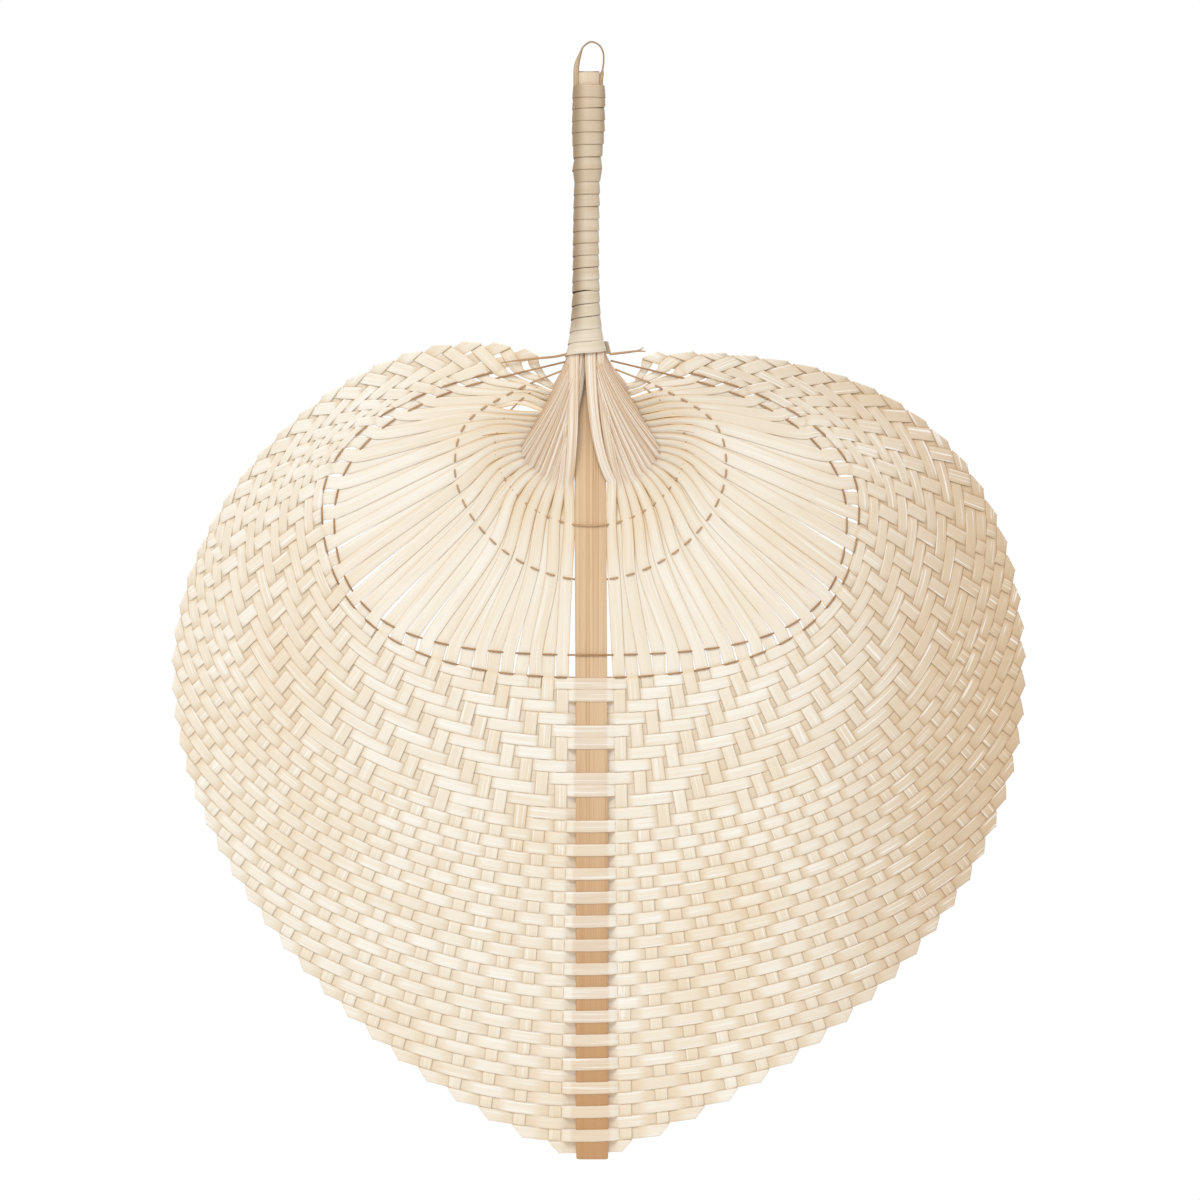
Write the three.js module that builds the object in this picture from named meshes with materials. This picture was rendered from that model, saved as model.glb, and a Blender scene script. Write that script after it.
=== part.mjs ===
import * as THREE from 'three';

// Woven bamboo hand fan. Millimetres, +Z up. The fan hangs from its loop: the origin is the point inside the
// top of the loop, the handle is below it and the blade hangs lowest. The front faces -Y.
// Inside the group, z = 0 is the neck, where the handle binding ends and the blade starts.

// Strips: each is a weft across the spine, folded at the rim, then a splint that runs back to the neck.
const STRIP_COUNT = 40;
const TWILL_WEFTS = 12;
const STRIP_THICKNESS = 0.22;
const STRIP_GAP = 0.52;
const LAYER_GAP = 0.3;

// Spine and handle core, one slat.
const SPINE_WIDTH = 11.2;
const SPINE_THICKNESS = 3;
const CORE_WIDTH = 7.8;
const CORE_DEPTH = 5;
const CORE_END_WIDTH = 7.3;
const CORE_EXPOSED = 4.9;
const FIT_GAP = 0.3;

// Blade outline, measured down from the neck and out from the spine.
const BLADE_DROP = 281.5;
const BLADE_HALF_RIGHT = 151.3;
const BLADE_HALF_LEFT = 145.7;
const BLADE_WIDEST_DROP = 110.5;
const RIM_END_X = 18;
const RIM_END_DROP = 1;
const RIM_FIRST_FOLD = 13.3;
const RIM_LAST_FOLD = 3;
const RIM_TIP_SPREAD = 0.33;

// Lacing rings of the open window, from the weave inwards, and the throat where the splints gather.
const WEAVE_DROP = 113;
const WEAVE_HALF = 94;
const WEAVE_WIDEST_DROP = 53;
const OUTER_LACE_DROP = 105;
const OUTER_LACE_HALF = 89.7;
const OUTER_LACE_WIDEST_DROP = 57.5;
const MIDDLE_LACE_DROP = 78.8;
const MIDDLE_LACE_HALF = 47.5;
const MIDDLE_LACE_WIDEST_DROP = 39.3;
const INNER_LACE_DROP = 59.8;
const INNER_LACE_HALF = 33.5;
const INNER_LACE_WIDEST_DROP = 32;
const THROAT_DROP = 45;
const THROAT_HALF = 24.3;
const THROAT_WIDEST_DROP = 33;
const THROAT_END_X = 8.4;
const THROAT_END_DROP = 4.2;
const THROAT_LAST_SPLINT = 1;
const THROAT_DEPTH = 2.6;
const THROAT_SIDE_DEPTH = 0.3;
const THROAT_TILT = 25;
const THROAT_SIDE_TILT = 8;
const INNER_LACE_TILT = 8;
const THROAT_STRIP_WIDTH = 3.2;
const MIDDLE_LACE_STRIP_WIDTH = 3.5;
const INNER_LACE_STRIP_WIDTH = 3;
const LACE_RADIUS = 0.35;
const LACE_END_RIGHT = 12;
const LACE_END_LEFT = 23;
const LACE_END_RISE = 1.6;
const LACE_END_SAG = 0.8;

// Neck: the splints stand on edge around the core, under the binding.
const NECK_INNER_HALF = 4.7;
const NECK_INNER_DEPTH = 3.6;
const NECK_STRIP_WIDTH = 2;
const NECK_INSERT = 4;

// Handle binding and hanging loop.
const HANDLE_LENGTH = 94.5;
const BINDING_WIDTH = 3.6;
const BINDING_THICKNESS = 0.4;
const BINDING_PITCH = 4.1;
const BINDING_STEPS = 16;
const BINDING_START = 126;
const NECK_FLARE_LENGTH = 9;
const LOOP_WIDTH = 2.2;
const LOOP_THICKNESS = 0.6;
const LOOP_RISE = 9.8;
const LOOP_TUCK = 14;
const LOOP_TWIST = 50;
const LOOP_SWELL_LENGTH = 19.6;

// The loop's way over the core, as shares of its legs' distance from the middle and of its rise.
const LOOP_ROUTE = [[-1, 0.35], [-0.62, 0.78], [0.1, 1.03], [0.8, 0.85], [1.15, 0.5], [1.13, 0.1]];

const CORE_TOP = HANDLE_LENGTH + CORE_EXPOSED;
const LOOP_TOP = CORE_TOP + LOOP_RISE;

const bamboo = (colour, roughness = 0.6) =>
  new THREE.MeshStandardMaterial({ color: colour, roughness, metalness: 0 });
const COLOUR_STRIP = 0xf1e6cf;
const COLOUR_SPINE = 0xd2b184;
const COLOUR_BINDING = 0xcbb28d;
const COLOUR_LACE = 0x8a5a33;
const COLOUR_LOOP = 0xa88458;

const vec = (x, y, z) => new THREE.Vector3(x, y, z);
const FORWARD = vec(0, -1, 0);

// A closed solid swept through rings of equally many corners, capped at both ends. Opposite faces are split
// along the same diagonal, so that a twisted strip keeps its thickness.
function sweptSolid(rings) {
  const corners = rings[0].length;
  const positions = rings.flat().flatMap((p) => [p.x, p.y, p.z]);
  const index = [];
  for (let i = 0; i + 1 < rings.length; i += 1) {
    for (let k = 0; k < corners; k += 1) {
      const a = i * corners + k;
      const b = i * corners + ((k + 1) % corners);
      if (k < corners / 2) {
        index.push(a, b, b + corners, a, b + corners, a + corners);
      } else {
        index.push(a, b, a + corners, b, b + corners, a + corners);
      }
    }
  }
  const last = (rings.length - 1) * corners;
  for (let k = 1; k + 1 < corners; k += 1) {
    index.push(0, k + 1, k);
    index.push(last, last + k, last + k + 1);
  }
  const geometry = new THREE.BufferGeometry();
  geometry.setAttribute('position', new THREE.Float32BufferAttribute(positions, 3));
  geometry.setIndex(index);
  if (signedVolume(positions, index) < 0) {
    for (let i = 0; i < index.length; i += 3) {
      [index[i + 1], index[i + 2]] = [index[i + 2], index[i + 1]];
    }
    geometry.setIndex(index);
  }
  geometry.computeVertexNormals();
  return geometry;
}

function signedVolume(positions, index) {
  const corner = (i) => vec().fromArray(positions, 3 * i);
  let total = 0;
  for (let i = 0; i < index.length; i += 3) {
    const a = corner(index[i]);
    total += a.dot(corner(index[i + 1]).cross(corner(index[i + 2])));
  }
  return total / 6;
}

// One cross-section of a flat strip: its middle, a unit vector across its width and one through its depth.
function stripSection(middle, across, through, width, thickness) {
  const w = across.clone().multiplyScalar(width / 2);
  const n = through.clone().multiplyScalar(thickness / 2);
  return [
    middle.clone().add(w).add(n),
    middle.clone().sub(w).add(n),
    middle.clone().sub(w).sub(n),
    middle.clone().add(w).sub(n),
  ];
}

const LACE_START = SPINE_WIDTH / 2 + FIT_GAP + INNER_LACE_STRIP_WIDTH / 2;

// A ring of the blade on one side: from the spine at its drop, out to its half width, and up to its shoulder,
// given as a share of the way from the throat's end to the rim's. Pulls are the lengths of the curve's
// handles as shares of the span that they bend, and lead is how much further out the first splint is than on
// the inner lace.
function ring({
  drop, half, widest, shoulder, bottomAngle = 0, endAngle, pulls, lead, crowd = 0, tipSpread = 0,
}) {
  const endX = THREE.MathUtils.lerp(THROAT_END_X, RIM_END_X, shoulder);
  const endDrop = THREE.MathUtils.lerp(THROAT_END_DROP, RIM_END_DROP, shoulder);
  const heading = (degrees) => new THREE.Vector2(1, 0).rotateAround(
    new THREE.Vector2(), THREE.MathUtils.degToRad(degrees));
  const bottom = new THREE.Vector2(0, -drop);
  const side = new THREE.Vector2(half, -widest);
  const end = new THREE.Vector2(endX, -endDrop);
  const path = new THREE.CurvePath();
  path.add(new THREE.CubicBezierCurve(
    bottom,
    bottom.clone().addScaledVector(heading(bottomAngle), pulls[0] * half),
    side.clone().add(new THREE.Vector2(0, -pulls[1] * (drop - widest))),
    side));
  path.add(new THREE.CubicBezierCurve(
    side,
    side.clone().add(new THREE.Vector2(0, pulls[2] * (widest - endDrop))),
    end.clone().addScaledVector(heading(endAngle), pulls[3] * half),
    end));
  return {
    path,
    length: path.getLength(),
    first: LACE_START + lead,
    last: THREE.MathUtils.lerp(THROAT_LAST_SPLINT, RIM_LAST_FOLD, shoulder),
    crowd,
    tipSpread,
  };
}

const RIM = {
  right: ring({
    drop: BLADE_DROP, half: BLADE_HALF_RIGHT, widest: BLADE_WIDEST_DROP, shoulder: 1, bottomAngle: 20,
    endAngle: 5.5, pulls: [0.457, 0.55, 0.955, 0.333], lead: RIM_FIRST_FOLD - LACE_START,
    tipSpread: RIM_TIP_SPREAD,
  }),
  left: ring({
    drop: BLADE_DROP, half: BLADE_HALF_LEFT, widest: BLADE_WIDEST_DROP, shoulder: 1, bottomAngle: 16,
    endAngle: 23.9, pulls: [0.438, 0.46, 0.64, 0.384], lead: RIM_FIRST_FOLD - LACE_START,
    tipSpread: RIM_TIP_SPREAD,
  }),
};
const WEAVE_EDGE = ring({
  drop: WEAVE_DROP, half: WEAVE_HALF, widest: WEAVE_WIDEST_DROP, shoulder: 0.84,
  endAngle: -7, pulls: [0.585, 0.78, 0.62, 0.34], lead: 2.6, crowd: 0.2,
});
const OUTER_LACE = ring({
  drop: OUTER_LACE_DROP, half: OUTER_LACE_HALF, widest: OUTER_LACE_WIDEST_DROP, shoulder: 0.69,
  endAngle: -8, pulls: [0.625, 0.86, 0.65, 0.345], lead: 2.2, crowd: 0.2,
});
const MIDDLE_LACE = ring({
  drop: MIDDLE_LACE_DROP, half: MIDDLE_LACE_HALF, widest: MIDDLE_LACE_WIDEST_DROP, shoulder: 0.51,
  endAngle: -28.6, pulls: [0.585, 0.42, 0.6, 0.54], lead: 0.8, crowd: 0.25,
});
const INNER_LACE = ring({
  drop: INNER_LACE_DROP, half: INNER_LACE_HALF, widest: INNER_LACE_WIDEST_DROP, shoulder: 0.31,
  endAngle: -34.4, pulls: [0.6, 0.43, 0.48, 0.24], lead: 0, crowd: 0.2,
});
const THROAT = ring({
  drop: THROAT_DROP, half: THROAT_HALF, widest: THROAT_WIDEST_DROP, shoulder: 0,
  endAngle: -60, pulls: [0.53, 0.58, 0.38, 0.4], lead: -0.3, crowd: 0.2,
});

// The place of splint number `number` on a ring, counted outwards from the spine. The splints lie closer
// together in the lower part of a ring and spread towards the shoulders, by the ring's crowd. On the rim
// the folds near the tip lie wider apart instead, by its tip spread.
function ringPlace(shape, number, side) {
  const share = (number - 1) / (STRIP_COUNT - 1);
  const crowded = (1 - shape.crowd) * share + shape.crowd * share ** 4;
  const spread = crowded + shape.tipSpread * share * (1 - share) ** 3;
  const run = shape.first + spread * (shape.length - shape.first - shape.last);
  const point = shape.path.getPoint(run / shape.length);
  return vec(side * point.x, 0, point.y);
}

const rimOf = (side) => (side > 0 ? RIM.right : RIM.left);
const spinePitch = (BLADE_DROP - WEAVE_DROP) / (STRIP_COUNT + 0.5);
const STRIP_WIDTH = spinePitch - STRIP_GAP;

// Odd splints gather on the front of the neck and even ones on its back.
const neckFace = (number) => (number % 2 ? -1 : 1);

// The binding's outer half width and half depth at a height above the neck: it flares over the gathered
// splints at the neck and swells again over the legs of the loop.
function bindingHalf(z) {
  const wall = BINDING_THICKNESS + FIT_GAP;
  const flare = Math.exp(-z / NECK_FLARE_LENGTH);
  const loopRoom = LOOP_THICKNESS + 2 * FIT_GAP;
  const swellTop = HANDLE_LENGTH - LOOP_TUCK;
  const legs = THREE.MathUtils.smoothstep(z, swellTop - LOOP_SWELL_LENGTH, swellTop);
  const core = { x: CORE_WIDTH / 2 + wall, y: CORE_DEPTH / 2 + wall };
  const neck = {
    x: NECK_INNER_HALF + NECK_STRIP_WIDTH + wall,
    y: NECK_INNER_DEPTH + NECK_STRIP_WIDTH + wall,
  };
  return {
    x: core.x + (neck.x - core.x) * flare + loopRoom * legs,
    y: core.y + (neck.y - core.y) * flare + (loopRoom / 2) * legs,
  };
}

// Splint number `number` where it stands on edge in the neck, at height z: half of the strips of one side
// share a quarter of the inner ellipse, from the middle of the front or back to the side.
function neckStand(number, side, z) {
  const face = neckFace(number);
  const rank = Math.floor((number - 1) / 2) + 0.5;
  const turn = quarterTurn(rank / (STRIP_COUNT / 2));
  const edge = vec(side * NECK_INNER_HALF * Math.sin(turn), face * NECK_INNER_DEPTH * Math.cos(turn), z);
  const outward = vec(
    side * NECK_INNER_DEPTH * Math.sin(turn), face * NECK_INNER_HALF * Math.cos(turn), 0).normalize();
  const room = bindingHalf(Math.max(z, 0));
  const limit = Math.min(room.x - NECK_INNER_HALF, room.y - NECK_INNER_DEPTH);
  const width = Math.min(limit - BINDING_THICKNESS - FIT_GAP, NECK_STRIP_WIDTH);
  return { point: edge.addScaledVector(outward, width / 2), across: outward.multiplyScalar(side), width };
}

// The angle on the neck's inner ellipse at a share of a quarter of its length.
const NECK_QUARTER = new THREE.EllipseCurve(0, 0, NECK_INNER_DEPTH, NECK_INNER_HALF, 0, Math.PI / 2);
function quarterTurn(share) {
  return NECK_QUARTER.getUtoTmapping(share) * (Math.PI / 2);
}

// Where strips overlap each other, the front and the back ones run in two layers, this far from the middle.
const layered = STRIP_THICKNESS / 2 + LAYER_GAP / 2;
const innerLean = THREE.MathUtils.degToRad(INNER_LACE_TILT);
const innerLayered = layered + (INNER_LACE_STRIP_WIDTH / 2) * Math.sin(innerLean);

// The stands of one splint from the rim to the neck. Each holds its middle, its width and how it leans.
function splintStands(number, side) {
  const face = neckFace(number);
  const share = (number - 1) / (STRIP_COUNT - 1);
  const stand = (shape, width, depth = 0, lean = 0) => ({
    point: ringPlace(shape, number, side).setY(face * depth), width, lean: lean * face * side,
  });
  const throatDepth = THREE.MathUtils.lerp(THROAT_DEPTH, THROAT_SIDE_DEPTH, share);
  const throatLean = THREE.MathUtils.degToRad(THREE.MathUtils.lerp(THROAT_TILT, THROAT_SIDE_TILT, share));
  return [
    stand(rimOf(side), STRIP_WIDTH),
    stand(WEAVE_EDGE, STRIP_WIDTH),
    stand(OUTER_LACE, STRIP_WIDTH, layered),
    stand(MIDDLE_LACE, MIDDLE_LACE_STRIP_WIDTH, layered),
    stand(INNER_LACE, INNER_LACE_STRIP_WIDTH, innerLayered, innerLean),
    stand(THROAT, THROAT_STRIP_WIDTH, throatDepth, throatLean),
    neckStand(number, side, 0),
    neckStand(number, side, NECK_INSERT),
  ];
}

// A splint as a smooth curve through its stands.
function splint(number, side) {
  const stands = splintStands(number, side);
  const plan = new THREE.CatmullRomCurve3(
    stands.map((s) => s.point.clone().setY(0)), false, 'centripetal');
  const spans = stands.length - 1;
  const at = (span, share) => {
    const depth = THREE.MathUtils.lerp(stands[span].point.y, stands[span + 1].point.y, share);
    return plan.getPoint((span + share) / spans).setY(depth);
  };
  const ahead = (span, share) => plan.getTangent((span + share) / spans);
  return { stands, spans, at, ahead };
}

// Points on the woven stretch of a splint, evenly spaced from the rim to the edge of the weave.
function wovenStretch({ at }) {
  const samples = 48;
  const points = [];
  for (let i = 0; i <= samples; i += 1) points.push(at(0, i / samples));
  const run = [0];
  for (let i = 1; i <= samples; i += 1) run.push(run[i - 1] + points[i].distanceTo(points[i - 1]));
  return (part) => {
    const goal = part * run[samples];
    let i = 1;
    while (i < samples && run[i] < goal) i += 1;
    return points[i - 1].clone().lerp(points[i], (goal - run[i - 1]) / (run[i] - run[i - 1]));
  };
}

const SPLINTS = new Map();
for (const side of [1, -1]) {
  for (let number = 1; number <= STRIP_COUNT; number += 1) {
    const made = splint(number, side);
    made.woven = wovenStretch(made);
    SPLINTS.set(side * number, made);
  }
}

// Where the weft of strip `weft` crosses splint `number`; the weft's own number gives its fold.
function crossing(number, weft, side) {
  if (number === 0) return vec(0, 0, -BLADE_DROP + weft * spinePitch);
  const { woven } = SPLINTS.get(side * number);
  return woven((weft - number) / (STRIP_COUNT + 0.5 - number));
}

// Wefts next to the window pass the spine in pairs, the others one by one.
function weftFace(weft) {
  const fromWindow = STRIP_COUNT - weft;
  const inFront = fromWindow < TWILL_WEFTS ? fromWindow % 4 < 2 : fromWindow % 2 === 0;
  return inFront ? -1 : 1;
}

const WEFT_STEP = 4;
const weaveLayer = STRIP_THICKNESS + LAYER_GAP;
const spineLayer = SPINE_THICKNESS / 2 + FIT_GAP + STRIP_THICKNESS / 2;

// The width of a weft where it crosses a splint: the wefts share the splint's woven length, less the gap
// between them, seen square to the weft.
function weftWidth(number, weft, side, ahead) {
  const { woven } = SPLINTS.get(side * number);
  const wefts = STRIP_COUNT + 0.5 - number;
  const place = (weft - number) / wefts;
  const step = 0.5 / wefts;
  const pitch = 2 * woven(place + step).sub(woven(place)).cross(ahead).length();
  return Math.min(STRIP_WIDTH, pitch - STRIP_GAP);
}

// The weft of one strip on one side: its stations from beside the spine to its fold at the rim.
function weftStations(weft, side) {
  const face = weftFace(weft);
  const paired = weft > STRIP_COUNT - TWILL_WEFTS;
  const lastStep = WEFT_STEP * Math.floor((weft - 1) / WEFT_STEP);
  const numbers = weft > 1 ? [1] : [];
  for (let n = WEFT_STEP; n < weft; n += n < lastStep || !paired ? WEFT_STEP : 1) numbers.push(n);
  numbers.push(weft);
  const besideSpine = crossing(0, weft, side).setX(side * (SPINE_WIDTH / 2 + 2 * FIT_GAP));
  const points = [besideSpine, ...numbers.map((n) => crossing(n, weft, side))];
  const curve = new THREE.CatmullRomCurve3(points, false, 'centripetal');
  return points.map((point, i) => {
    const ahead = i === 0 ? vec(side, 0, 0) : curve.getTangent(i / (points.length - 1));
    const depth = i === 0 ? spineLayer : weaveLayer;
    return {
      point: point.clone().setY(face * depth),
      ahead,
      across: FORWARD.clone().cross(ahead),
      width: i === 0 ? STRIP_WIDTH : weftWidth(numbers[i - 1], weft, side, ahead),
    };
  });
}

// The fold at the rim turns a strip over along a crease that halves the angle between weft and splint.
function foldRings({ point, ahead, across, width }, inward) {
  const crease = ahead.clone().add(inward).normalize();
  const outward = ahead.clone().sub(inward).normalize();
  const length = width / crease.dot(across);
  const layer = point.y;
  const turned = outward.clone().multiplyScalar(layer < 0 ? 1 : -1);
  const at = (offset, depth, normal) => stripSection(
    point.clone().addScaledVector(outward, offset).setY(depth), crease, normal, length, STRIP_THICKNESS);
  return [
    at(0, layer, FORWARD),
    at(Math.abs(layer) / 2, layer / 2, turned),
    at(0, 0, FORWARD.clone().negate()),
  ];
}

// Sections between two stands of a splint, as shares of the way, from the rim inwards.
const SPAN_STEPS = [null, [], [], [], [0.5], [0.5], []];

// Extra sections on the woven stretch of a splint, fewer on the short ones near the neck.
function wovenSteps(number) {
  const count = Math.round((STRIP_COUNT - number) / 14);
  return Array.from({ length: count }, (_, i) => (i + 1) / (count + 1));
}

// The way across a splint between two stands: flat in the blade, tilted in the throat, on edge in the neck.
function blendAcross(from, to, share, ahead) {
  const wayOf = (stand) => {
    if (stand.across) return stand.across.clone();
    const flat = vec(0, 1, 0).cross(ahead).normalize();
    return flat.multiplyScalar(Math.cos(stand.lean)).add(vec(0, Math.sin(stand.lean), 0));
  };
  const across = wayOf(from).lerp(wayOf(to), share);
  return across.addScaledVector(ahead, -across.dot(ahead)).normalize();
}

// The splint of one strip on one side: rings from its fold to its end in the neck.
function splintRings(number, side) {
  const { stands, spans, at, ahead } = SPLINTS.get(side * number);
  const rings = [];
  for (let i = 0; i < spans; i += 1) {
    for (const share of [...(SPAN_STEPS[i] ?? wovenSteps(number)), 1]) {
      const heading = ahead(i, share);
      const across = blendAcross(stands[i], stands[i + 1], share, heading);
      const normal = heading.clone().cross(across);
      const width = THREE.MathUtils.lerp(stands[i].width, stands[i + 1].width, share);
      rings.push(stripSection(at(i, share), across, normal, width, STRIP_THICKNESS));
    }
  }
  return rings;
}

// One side of a strip, as rings of corners from the spine to the end in the neck.
function stripSide(number, side) {
  const stations = weftStations(number, side);
  const fold = stations.pop();
  const inward = SPLINTS.get(side * number).ahead(0, 0);
  const weft = stations.map((s) => stripSection(s.point, s.across, FORWARD, s.width, STRIP_THICKNESS));
  return [...weft, ...foldRings(fold, inward), ...splintRings(number, side)];
}

function strip(number) {
  const swapEdges = ([a, b, c, d]) => [b, a, d, c];
  const middle = stripSection(
    crossing(0, number, 1).setY(weftFace(number) * spineLayer), vec(0, 0, 1), FORWARD,
    STRIP_WIDTH, STRIP_THICKNESS);
  const left = stripSide(number, -1).map(swapEdges).reverse();
  return sweptSolid([...left, middle, ...stripSide(number, 1)]);
}

// A ring of corners on a rounded outline at height z: an ellipse for roundness 2, squarer above that.
function roundedOutline(halfWidth, halfDepth, roundness, z, corners = 16) {
  const stretch = (value) => Math.sign(value) * Math.abs(value) ** (2 / roundness);
  return Array.from({ length: corners }, (_, k) => {
    const turn = ((k + 0.5) / corners) * 2 * Math.PI;
    return vec(halfWidth * stretch(Math.cos(turn)), halfDepth * stretch(Math.sin(turn)), z);
  });
}

// The slat: flat and square in the blade, narrower through the neck, rounder in the handle.
const SLAT_SQUARE = 9;
const CORE_ROUND = 2;
const CORE_END_ROUND = 2.4;
const EDGE_BREAK = 0.4;
const SPINE_TAPER = { from: 0.75 * THROAT_DROP, to: 0.2 * THROAT_DROP };
function spine() {
  const blade = [SPINE_WIDTH / 2, SPINE_THICKNESS / 2];
  const neck = [CORE_WIDTH / 2, SPINE_THICKNESS / 2];
  const handle = [CORE_WIDTH / 2, CORE_DEPTH / 2];
  const end = [CORE_END_WIDTH / 2, CORE_DEPTH / 2 - FIT_GAP];
  return sweptSolid([
    roundedOutline(blade[0] - EDGE_BREAK, blade[1] - EDGE_BREAK, SLAT_SQUARE, -BLADE_DROP),
    roundedOutline(...blade, SLAT_SQUARE, -BLADE_DROP + EDGE_BREAK),
    roundedOutline(...blade, SLAT_SQUARE, -SPINE_TAPER.from),
    roundedOutline(...neck, SLAT_SQUARE, -SPINE_TAPER.to),
    roundedOutline(...neck, SLAT_SQUARE, NECK_INSERT + 2 * FIT_GAP),
    roundedOutline(...handle, CORE_ROUND, NECK_INSERT + NECK_FLARE_LENGTH),
    roundedOutline(...handle, CORE_ROUND, HANDLE_LENGTH - LOOP_TUCK),
    roundedOutline(...end, CORE_END_ROUND, HANDLE_LENGTH),
    roundedOutline(...end, CORE_END_ROUND, CORE_TOP),
  ]);
}

// A round strand along a list of points, with square ends.
function strand(points, radius, sides = 6) {
  const curve = new THREE.CatmullRomCurve3(points, false, 'centripetal');
  const rings = points.map((point, i) => {
    const ahead = curve.getTangent(i / (points.length - 1));
    const level = vec(0, 1, 0).cross(ahead).normalize();
    const rise = ahead.clone().cross(level);
    return Array.from({ length: sides }, (_, k) => {
      const turn = ((k + 0.5) / sides) * 2 * Math.PI;
      return point.clone()
        .addScaledVector(level, radius * Math.cos(turn))
        .addScaledVector(rise, radius * Math.sin(turn));
    });
  });
  return sweptSolid(rings);
}

// A lacing strand follows its ring on both sides of the spine, on the front or the back of the splints, over
// the share of its length that it reaches.
const LACE_STEPS = 18;
const LACE_REACH = 0.92;
function lace(shape, face, lift) {
  const bladeDepth = lift + STRIP_THICKNESS / 2 + FIT_GAP + LACE_RADIUS;
  const spineDepth = SPINE_THICKNESS / 2 + FIT_GAP + LACE_RADIUS;
  const besideSpine = (SPINE_WIDTH / 2 + 2 * FIT_GAP) / shape.length;
  const start = shape.first / shape.length;
  const shares = [besideSpine];
  for (let i = 0.5; i < LACE_STEPS; i += 1) {
    shares.push(THREE.MathUtils.lerp(start, LACE_REACH, i / LACE_STEPS));
  }
  const half = (side) => shares.map((share, i) => {
    const point = shape.path.getPoint(share);
    return vec(side * point.x, face * (i === 0 ? spineDepth : bladeDepth), point.y);
  });
  const middle = shape.path.getPoint(0);
  return strand([...half(-1).reverse(), vec(0, face * spineDepth, middle.y), ...half(1)], LACE_RADIUS);
}

// The loose end of a lacing strand: it leaves the neck under the binding and lies in front of the shoulder.
const LACE_END_STEPS = 6;
function laceEnd(side, length) {
  const start = bindingHalf(0);
  const depth = weaveLayer + STRIP_THICKNESS / 2 + THROAT_STRIP_WIDTH / 2 + LACE_RADIUS;
  const startX = start.x * Math.sqrt(1 - (depth / start.y) ** 2) + FIT_GAP + LACE_RADIUS;
  const points = Array.from({ length: LACE_END_STEPS + 1 }, (_, i) => {
    const share = i / LACE_END_STEPS;
    const sag = LACE_END_SAG * Math.sin(Math.PI * share);
    return vec(side * (startX + share * length), -depth, LACE_RADIUS + side * share * LACE_END_RISE - sag);
  });
  return strand(points, LACE_RADIUS);
}

// The binding climbs the handle as one flat strip wound edge to edge, and both ends run on straight for the
// strip's width.
function bindingRings() {
  const low = BINDING_WIDTH / 2 + FIT_GAP;
  const turns = (HANDLE_LENGTH - BINDING_WIDTH - FIT_GAP) / BINDING_PITCH;
  const count = Math.floor(turns * BINDING_STEPS);
  const startTurn = THREE.MathUtils.degToRad(BINDING_START);
  const around = (turn, z, out) => {
    const half = bindingHalf(Math.max(z, 0));
    return vec((half.x - out) * Math.sin(turn), -(half.y - out) * Math.cos(turn), z);
  };
  const rings = [];
  for (let i = 0; i <= count; i += 1) {
    const turn = startTurn + (i / BINDING_STEPS) * 2 * Math.PI;
    const z = low + (i / BINDING_STEPS) * BINDING_PITCH;
    const top = z + BINDING_WIDTH / 2;
    const base = z - BINDING_WIDTH / 2;
    rings.push([
      around(turn, top, 0), around(turn, base, 0),
      around(turn, base, BINDING_THICKNESS), around(turn, top, BINDING_THICKNESS),
    ]);
  }
  const runOn = (end, before) => end.map((corner, k) => {
    const ahead = corner.clone().sub(before[k]).normalize();
    return corner.clone().addScaledVector(ahead, BINDING_WIDTH);
  });
  return [runOn(rings[0], rings[1]), ...rings, runOn(rings.at(-1), rings.at(-2))];
}

// The least distance between one turn of the binding and the next, on the corners of sections that are half
// a turn or more apart along the strip.
function leastTurnGap(rings) {
  let least = Infinity;
  for (let i = 0; i < rings.length; i += 1) {
    for (const other of rings.slice(i + BINDING_STEPS / 2)) {
      for (const a of rings[i]) {
        for (const b of other) least = Math.min(least, a.distanceTo(b));
      }
    }
  }
  return least;
}

// The hanging loop: a thin strip tucked under the binding on both sides of the core.
const LOOP_STEPS = 36;
const LOOP_TWIST_FROM = 0.12;
const LOOP_TWIST_OVER = 0.33;
function hangingLoop() {
  const leg = CORE_WIDTH / 2 + FIT_GAP + LOOP_THICKNESS / 2;
  const straightLeg = (side) => [0, 0.5, 1].map((share) =>
    vec(side * leg, 0, HANDLE_LENGTH - LOOP_TUCK + share * (LOOP_TUCK + CORE_EXPOSED / 2)));
  const bow = LOOP_ROUTE.map(([across, up]) => vec(across * leg, 0, CORE_TOP + up * LOOP_RISE));
  const points = [...straightLeg(-1), ...bow, ...straightLeg(1).reverse()];
  const curve = new THREE.CatmullRomCurve3(points, false, 'centripetal');
  const rings = Array.from({ length: LOOP_STEPS + 1 }, (_, i) => {
    const share = i / LOOP_STEPS;
    const point = curve.getPoint(share);
    const ahead = curve.getTangent(share);
    const turned = THREE.MathUtils.clamp((share - LOOP_TWIST_FROM) / LOOP_TWIST_OVER, 0, 1);
    const twist = THREE.MathUtils.degToRad(LOOP_TWIST) * Math.sin(Math.PI * turned);
    const level = vec(0, 1, 0).applyAxisAngle(ahead, twist);
    return stripSection(point, level, ahead.clone().cross(level), LOOP_WIDTH, LOOP_THICKNESS);
  });
  return sweptSolid(rings);
}

const fan = new THREE.Group();
fan.position.z = -LOOP_TOP;

function addPiece(name, geometry, colour) {
  const mesh = new THREE.Mesh(geometry, bamboo(colour));
  mesh.name = name;
  fan.add(mesh);
}

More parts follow.
